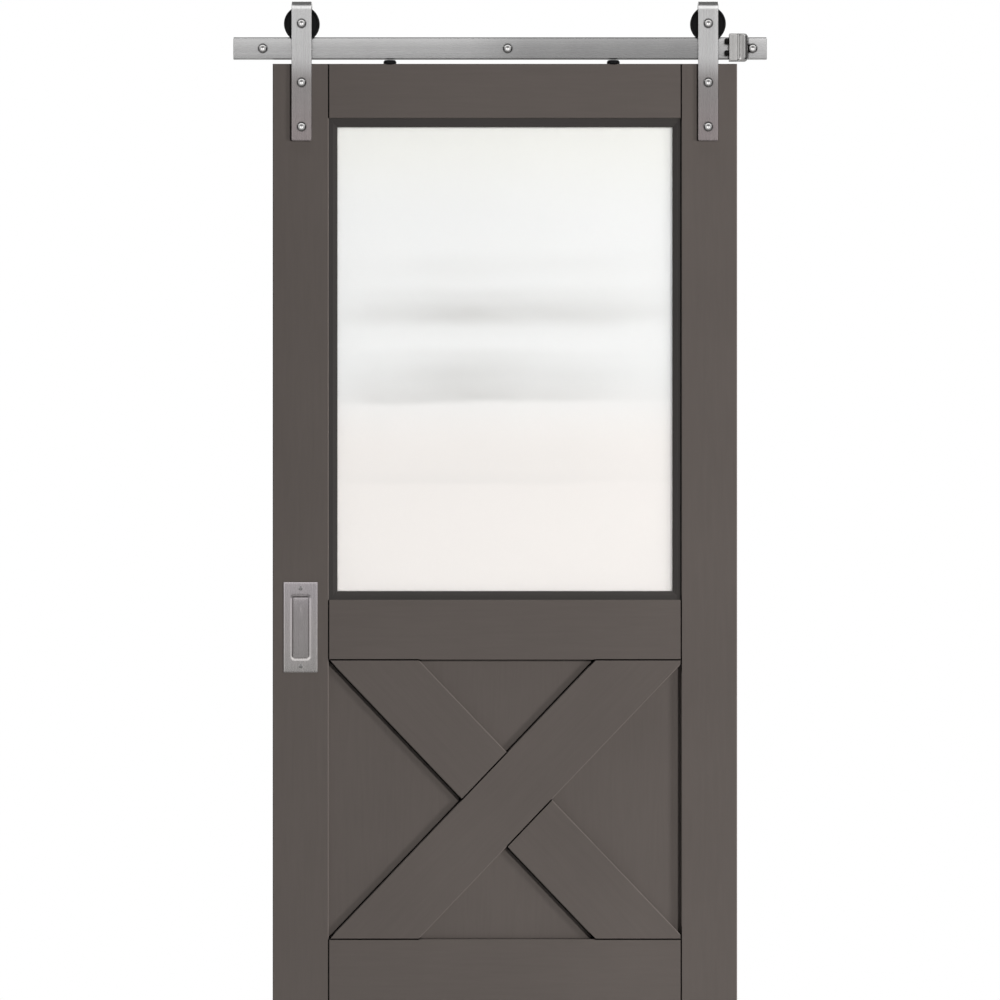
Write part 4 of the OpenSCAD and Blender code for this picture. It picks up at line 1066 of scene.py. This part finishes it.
class BARNDOOR_OT_pull(Operator):
    """Press the flush pull and set its two screws."""

    bl_idname = "barndoor.pull"
    bl_label = "Make the pull"

    def execute(self, context):
        sizes = context.scene.barn_door_hardware
        centre = middle("flush_pull")
        half_w, _, half_h = half_size("flush_pull")
        front, back = reach_of("flush_pull", Y)
        in_w, in_h = sizes.recess_w / 2, sizes.recess_h / 2
        lip, wall, margin, corner = sizes.recess_lip, 1.5 * MM, 2 * MM, 0.8 * MM
        cup_corner, lip_corner, recess_corner = 7.5 * MM, 9 * MM, 6 * MM
        lip_y = front + 1.0 * MM
        # rings of (half width, half height, corner, y) from the back of the cup to the recess's edge
        rings = [(in_w + wall, in_h + wall, cup_corner, back),
                 (in_w + wall, in_h + wall, cup_corner, LEAF_FRONT),
                 (half_w, half_h, corner, LEAF_FRONT), (half_w, half_h, corner, front + margin / 4),
                 (half_w - margin, half_h - margin, corner, front),
                 (in_w + lip, in_h + lip, lip_corner, front), (in_w, in_h, recess_corner, lip_y)]
        shape = eased(rings, 0.9 * MM, 6, closed=False)
        # rings across the recess's floor, crowded towards its edge and ending just short of its middle
        inset = np.array([0.05, 0.15, 0.35, 0.7, 1.2, 2, 3, 4.5, 6.5, 9, 12, 15, 16.8]) * MM
        inner = np.stack([in_w - inset, in_h - inset, np.maximum(recess_corner - inset, 0.1 * MM),
                          np.full(len(inset), lip_y)], -1)
        rows = np.concatenate([shape, inner])
        outline = self.with_sides(rounded_rectangles(rows[:, 0], rows[:, 1], rows[:, 2], 8), 10)
        x, z = outline[..., 0], outline[..., 1]
        inside = np.arange(len(rows))[:, None] >= len(shape)
        y = np.where(inside, self.cup_floor(x, z, in_w, in_h, lip_y, back - wall), rows[:, 3:])
        plate = Shells().add(np.stack([centre[0] + x, y, centre[2] + z], -1))
        plate.build("pull_plate", "door", "satin_steel", ["flush_pull"], "pull_nickel", sharp=50)
        screws = Shells()
        screw_low, screw_high = reach_of("pull_screws", Z)
        head_r, dome, recess = half_size("pull_screws")[X], 0.8 * MM, 0.75 * MM
        for z_screw in (screw_low + head_r, screw_high - head_r):
            cross_head(screws, (centre[0], front, z_screw), "-Y", head_r, dome, recess)
        # painted shade: these screws get the darker fastener finish
        screws.build("pull_plate_screws", "door", "bright_fasteners", ["pull_screws"], "dull_fasteners",
                     sharp=60)
        return {"FINISHED"}

    @staticmethod
    def cup_floor(x, z, half_w, half_h, lip_y, floor_y):
        """Y of the recess's floor, which falls from its edge along quarter circles.

        It is lip_y + scoop * fall. The fall is sqrt(1 - (1 - d)^2) of the share d of the way in from
        the sides, times the same from the ends. The scoop reaches floor_y just under the top edge and
        is shallower further down, by rise (1 - exp(-(way down) / 5 mm)).
        """
        side_sweep, top_sweep, foot_sweep, rise = 2.2 * MM, 2.6 * MM, 1.2 * MM, 1.5 * MM
        side = np.clip((half_w - np.abs(x)) / side_sweep, 0, 1)
        end = np.clip((half_h - np.abs(z)) / np.where(z > 0, top_sweep, foot_sweep), 0, 1)
        fall = np.sqrt(1 - (1 - side) ** 2) * np.sqrt(1 - (1 - end) ** 2)
        scoop = floor_y - lip_y - rise * (1 - np.exp(-(half_h - z) / (5 * MM)))
        return lip_y + scoop * fall

    @staticmethod
    def with_sides(rings, extra):
        """Adds points along the straight sides of each ring, evenly between the corners."""
        steps = rings.shape[1] // 4
        share = np.linspace(0, 1, extra + 2)[1:-1][None, :, None]
        parts = []
        for quadrant in range(4):
            last = rings[:, quadrant * steps + steps - 1][:, None]
            following = rings[:, (quadrant * steps + steps) % rings.shape[1]][:, None]
            parts += [rings[:, quadrant * steps:(quadrant + 1) * steps], last + (following - last) * share]
        return np.concatenate(parts, 1)


class BARNDOOR_OT_discs(Operator):
    """Turn the two anti-jump discs on top of the leaf."""

    bl_idname = "barndoor.discs"
    bl_label = "Make the discs"

    def execute(self, context):
        bore, shoulder, sink_width, sink_depth = 2 * MM, 2.2 * MM, 2.2 * MM, 1.6 * MM
        for side in SIDES:
            node = f"{side}_jump_disc"
            centre = middle(node)
            foot, top = reach_of(node, Z)
            radius, height = half_size(node)[X], top - foot
            outline = [(bore, 0), (radius, 0), (radius, height * 0.62), (radius - shoulder, height),
                       (bore + sink_width, height), (bore, height - sink_depth)]
            disc = turned(Z, eased(outline, 0.7 * MM), (centre[0], centre[1], foot), 72)
            Shells().add(disc, ring=True).build(f"{side}_disc", "door", "black_nylon", [node])
        finish_node("disc_screws", finish_for("black_fasteners"))
        return {"FINISHED"}


class BARNDOOR_OT_guide(Operator):
    """Make the floor guide's foot plate, fin and screws."""

    bl_idname = "barndoor.guide"
    bl_label = "Make the floor guide"

    def execute(self, context):
        plate, fin = Shells(), Shells()
        slab(plate, *corners("guide_plate"), 5 * MM, 0.8 * MM, Z)
        plate.build("guide_foot_plate", "track", "satin_steel", ["guide_plate"])
        slab(fin, *corners("guide_fin"), 4 * MM, 1.4 * MM, Y)
        fin.build("guide_nylon_fin", "track", "black_nylon", ["guide_fin"])
        low, high = corners("guide_screws")
        head_r = 4.5 * MM
        top = reach_of("guide_plate", Z)[1]
        screws = Shells()
        for x in (low[0] + head_r, high[0] - head_r):
            for y in (low[1] + head_r, high[1] - head_r):
                self.floor_screw(screws, (x, y, top), head_r, high[2] - top, top - low[2])
        screws.build("guide_floor_screws", "track", "bright_fasteners", ["guide_screws"], "floor_fasteners",
                     sharp=60)
        return {"FINISHED"}

    @staticmethod
    def floor_screw(screws, centre, radius, rise, length):
        """A pan-head screw pointing down: cross recess, and a thread that winds like the wall screws'."""
        seat, dome, recess = (centre[0], centre[1], centre[2] + 0.4 * MM), rise - 0.5 * MM, 1.3 * MM
        cross_head(screws, seat, "+Z", radius, dome, recess)
        crest, depth, pitch, point = 2.4 * MM, 0.7 * MM, 1.8 * MM, 5 * MM
        s, angle, r = thread(length, crest, depth, pitch, point, int(length / pitch * 8), 32, 0.06)
        screws.add(about(Z, r, angle, centre[2] - s, centre))


class BARNDOOR_OT_stage(Operator):
    """Set up the camera, the lights, the white surroundings and the pale floor."""

    bl_idname = "barndoor.stage"
    bl_label = "Make the stage"

    def execute(self, context):
        stage = context.scene.barn_door_stage
        self.camera(context.scene, stage)
        self.surroundings(context.scene, stage)
        warm, white = (1.0, 0.975, 0.95), (1.0, 1.0, 1.0)
        # name, place, width of its square, power, colour
        lights = [
            ("key_light", (4.1, -6.9, 0.8), 0.6, 465, warm),
            ("side_light", (6.0, -3.2, -0.6), 1.2, 246, warm),
            ("top_light", (0.0, -0.8, 6.0), 2.0, 150, white),
        ]
        for name, place, size, power, colour in lights:
            self.softbox(context.scene, name, place, size, power, colour)
        self.floor(context.scene, stage)
        context.scene.view_settings.view_transform = "Standard"
        context.scene.view_settings.look = "None"
        return {"FINISHED"}

    @staticmethod
    def camera(scene, stage):
        """A level camera whose distance gives the stated width of view at the leaf's front face."""
        data = bpy.data.cameras.new("camera")
        data.lens = stage.lens
        camera = bpy.data.objects.new("camera", data)
        distance = stage.view_width * data.lens / data.sensor_width
        camera.location = (stage.view_x, LEAF_FRONT - distance, stage.view_z)
        camera.rotation_euler = (math.pi / 2, 0, 0)
        data.clip_end = 100
        scene.collection.objects.link(camera)
        scene.camera = camera

    @staticmethod
    def softbox(scene, name, place, size, power, colour):
        """A square light that faces the middle of the leaf."""
        data = bpy.data.lights.new(name, "AREA")
        data.shape = "RECTANGLE"
        data.size = data.size_y = size
        data.energy = power
        data.color = colour
        lamp = bpy.data.objects.new(name, data)
        lamp.location = place
        aim = Vector((0, LEAF_FRONT, -0.8)) - Vector(place)
        lamp.rotation_euler = aim.to_track_quat("-Z", "Y").to_euler()
        # metal and glass take their reflections from the surroundings alone
        lamp.visible_glossy = False
        scene.collection.objects.link(lamp)

    @staticmethod
    def surroundings(scene, stage):
        """White in view and through the glass; bands of brightness for reflections; a low, even fill."""
        world = bpy.data.worlds.new("surroundings")
        scene.world = world
        world.use_nodes = True
        tree = world.node_tree
        tree.nodes.clear()
        where = add_node(tree, "ShaderNodeTexCoord").outputs["Generated"]
        aside, behind, up = add_node(tree, "ShaderNodeSeparateXYZ", Vector=where).outputs
        # sine of the elevation from -1 to 1: pale floor, dark skirting, even horizon, softbox, dim ceiling
        bands = ramp(tree, spread(tree, up, 0, 1, -1, 1), (0.0, 0.5), (0.27, 0.42), (0.36, 0.08),
                     (0.44, 0.45), (0.50, 0.62), (0.545, 0.66), (0.565, 0.36), (0.585, 0.5), (0.60, 1.45),
                     (0.74, 1.45), (0.79, 0.24), (1.0, 0.18))
        aside = worked_out(tree, "ABSOLUTE", aside)
        panels = ramp(tree, aside, (0.30, 1.0), (0.42, 1.6), (0.74, 1.6), (0.84, 0.25))
        room = blended(tree, 1.0, bands, panels, "MULTIPLY")
        room = add_node(tree, "ShaderNodeVectorMath", {"operation": "SCALE"}, i0=room,
                        Scale=stage.shine).outputs[0]
        even = ramp(tree, spread(tree, behind, 0, 1, -1, 1), (0.45, stage.fill), (0.75, stage.fill_behind))
        path = add_node(tree, "ShaderNodeLightPath").outputs
        white = (1, 1, 1, 1)
        light = add_node(tree, "ShaderNodeBackground", Color=even, Strength=1.0).outputs[0]
        for ray, colour, strength in (("Is Glossy Ray", room, 1.0),
                                      ("Is Transmission Ray", white, stage.through_glass),
                                      ("Is Camera Ray", white, 1.0)):
            glow = add_node(tree, "ShaderNodeBackground", Color=colour, Strength=strength).outputs[0]
            light = add_node(tree, "ShaderNodeMixShader", i0=path[ray], i1=light, i2=glow).outputs[0]
        add_node(tree, "ShaderNodeOutputWorld", Surface=light)

    @staticmethod
    def floor(scene, stage):
        """A round pale floor at the foot of the leaf."""
        rim = turned(Z, [(stage.floor_radius, 0)], (0, LEAF_FRONT, FLOOR_Z), stage.floor_columns)[0]
        mesh = bpy.data.meshes.new("floor")
        mesh.from_pydata(rim.tolist(), [], [list(range(len(rim)))])
        material, tree, shader = new_material("pale_floor")
        cloud = noise(tree, mapped(tree), 3, 3, 0.5)
        tree.links.new(blended(tree, spread(tree, cloud, 0, 1), (0.70, 0.70, 0.69), (0.76, 0.76, 0.75)),
                       shader.inputs["Base Color"])
        tree.links.new(spread(tree, cloud, 0.5, 0.6), shader.inputs["Roughness"])
        mesh.materials.append(material)
        piece = bpy.data.objects.new("floor", mesh)
        scene.collection.objects.link(piece)


# ---------------------------------------------------------------- sidebar


STEPS = (
    BARNDOOR_OT_stage,
    BARNDOOR_OT_paint_leaf,
    BARNDOOR_OT_glaze,
    BARNDOOR_OT_track,
    BARNDOOR_OT_stop,
    BARNDOOR_OT_hangers,
    BARNDOOR_OT_bolts,
    BARNDOOR_OT_wheels,
    BARNDOOR_OT_pull,
    BARNDOOR_OT_discs,
    BARNDOOR_OT_guide,
)
SETTINGS = {
    "barn_door_hardware": BARNDOOR_PG_hardware,
    "barn_door_finish": BARNDOOR_PG_finish,
    "barn_door_stage": BARNDOOR_PG_stage,
}


class BARNDOOR_PT_sidebar(Panel):
    """Buttons and settings for the door's finishes."""

    bl_idname = "BARNDOOR_PT_sidebar"
    bl_label = "Barn door"
    bl_space_type = "VIEW_3D"
    bl_region_type = "UI"
    bl_category = "Barn door"

    def draw(self, context):
        for step in STEPS:
            self.layout.operator(step.bl_idname)
        for attribute, group in SETTINGS.items():
            box = self.layout.box()
            for name in group.__annotations__:
                box.prop(getattr(context.scene, attribute), name)


def register():
    """Registers the settings, the operators and the panel."""
    for attribute, group in SETTINGS.items():
        bpy.utils.register_class(group)
        setattr(bpy.types.Scene, attribute, PointerProperty(type=group))
    for cls in (*STEPS, BARNDOOR_PT_sidebar):
        bpy.utils.register_class(cls)


def unregister():
    """Takes them away again."""
    for cls in (BARNDOOR_PT_sidebar, *reversed(STEPS)):
        bpy.utils.unregister_class(cls)
    for attribute, group in SETTINGS.items():
        delattr(bpy.types.Scene, attribute)
        bpy.utils.unregister_class(group)


def main():
    register()
    for step in STEPS:
        category, name = step.bl_idname.split(".")
        getattr(getattr(bpy.ops, category), name)()


if __name__ == "__main__":
    main()
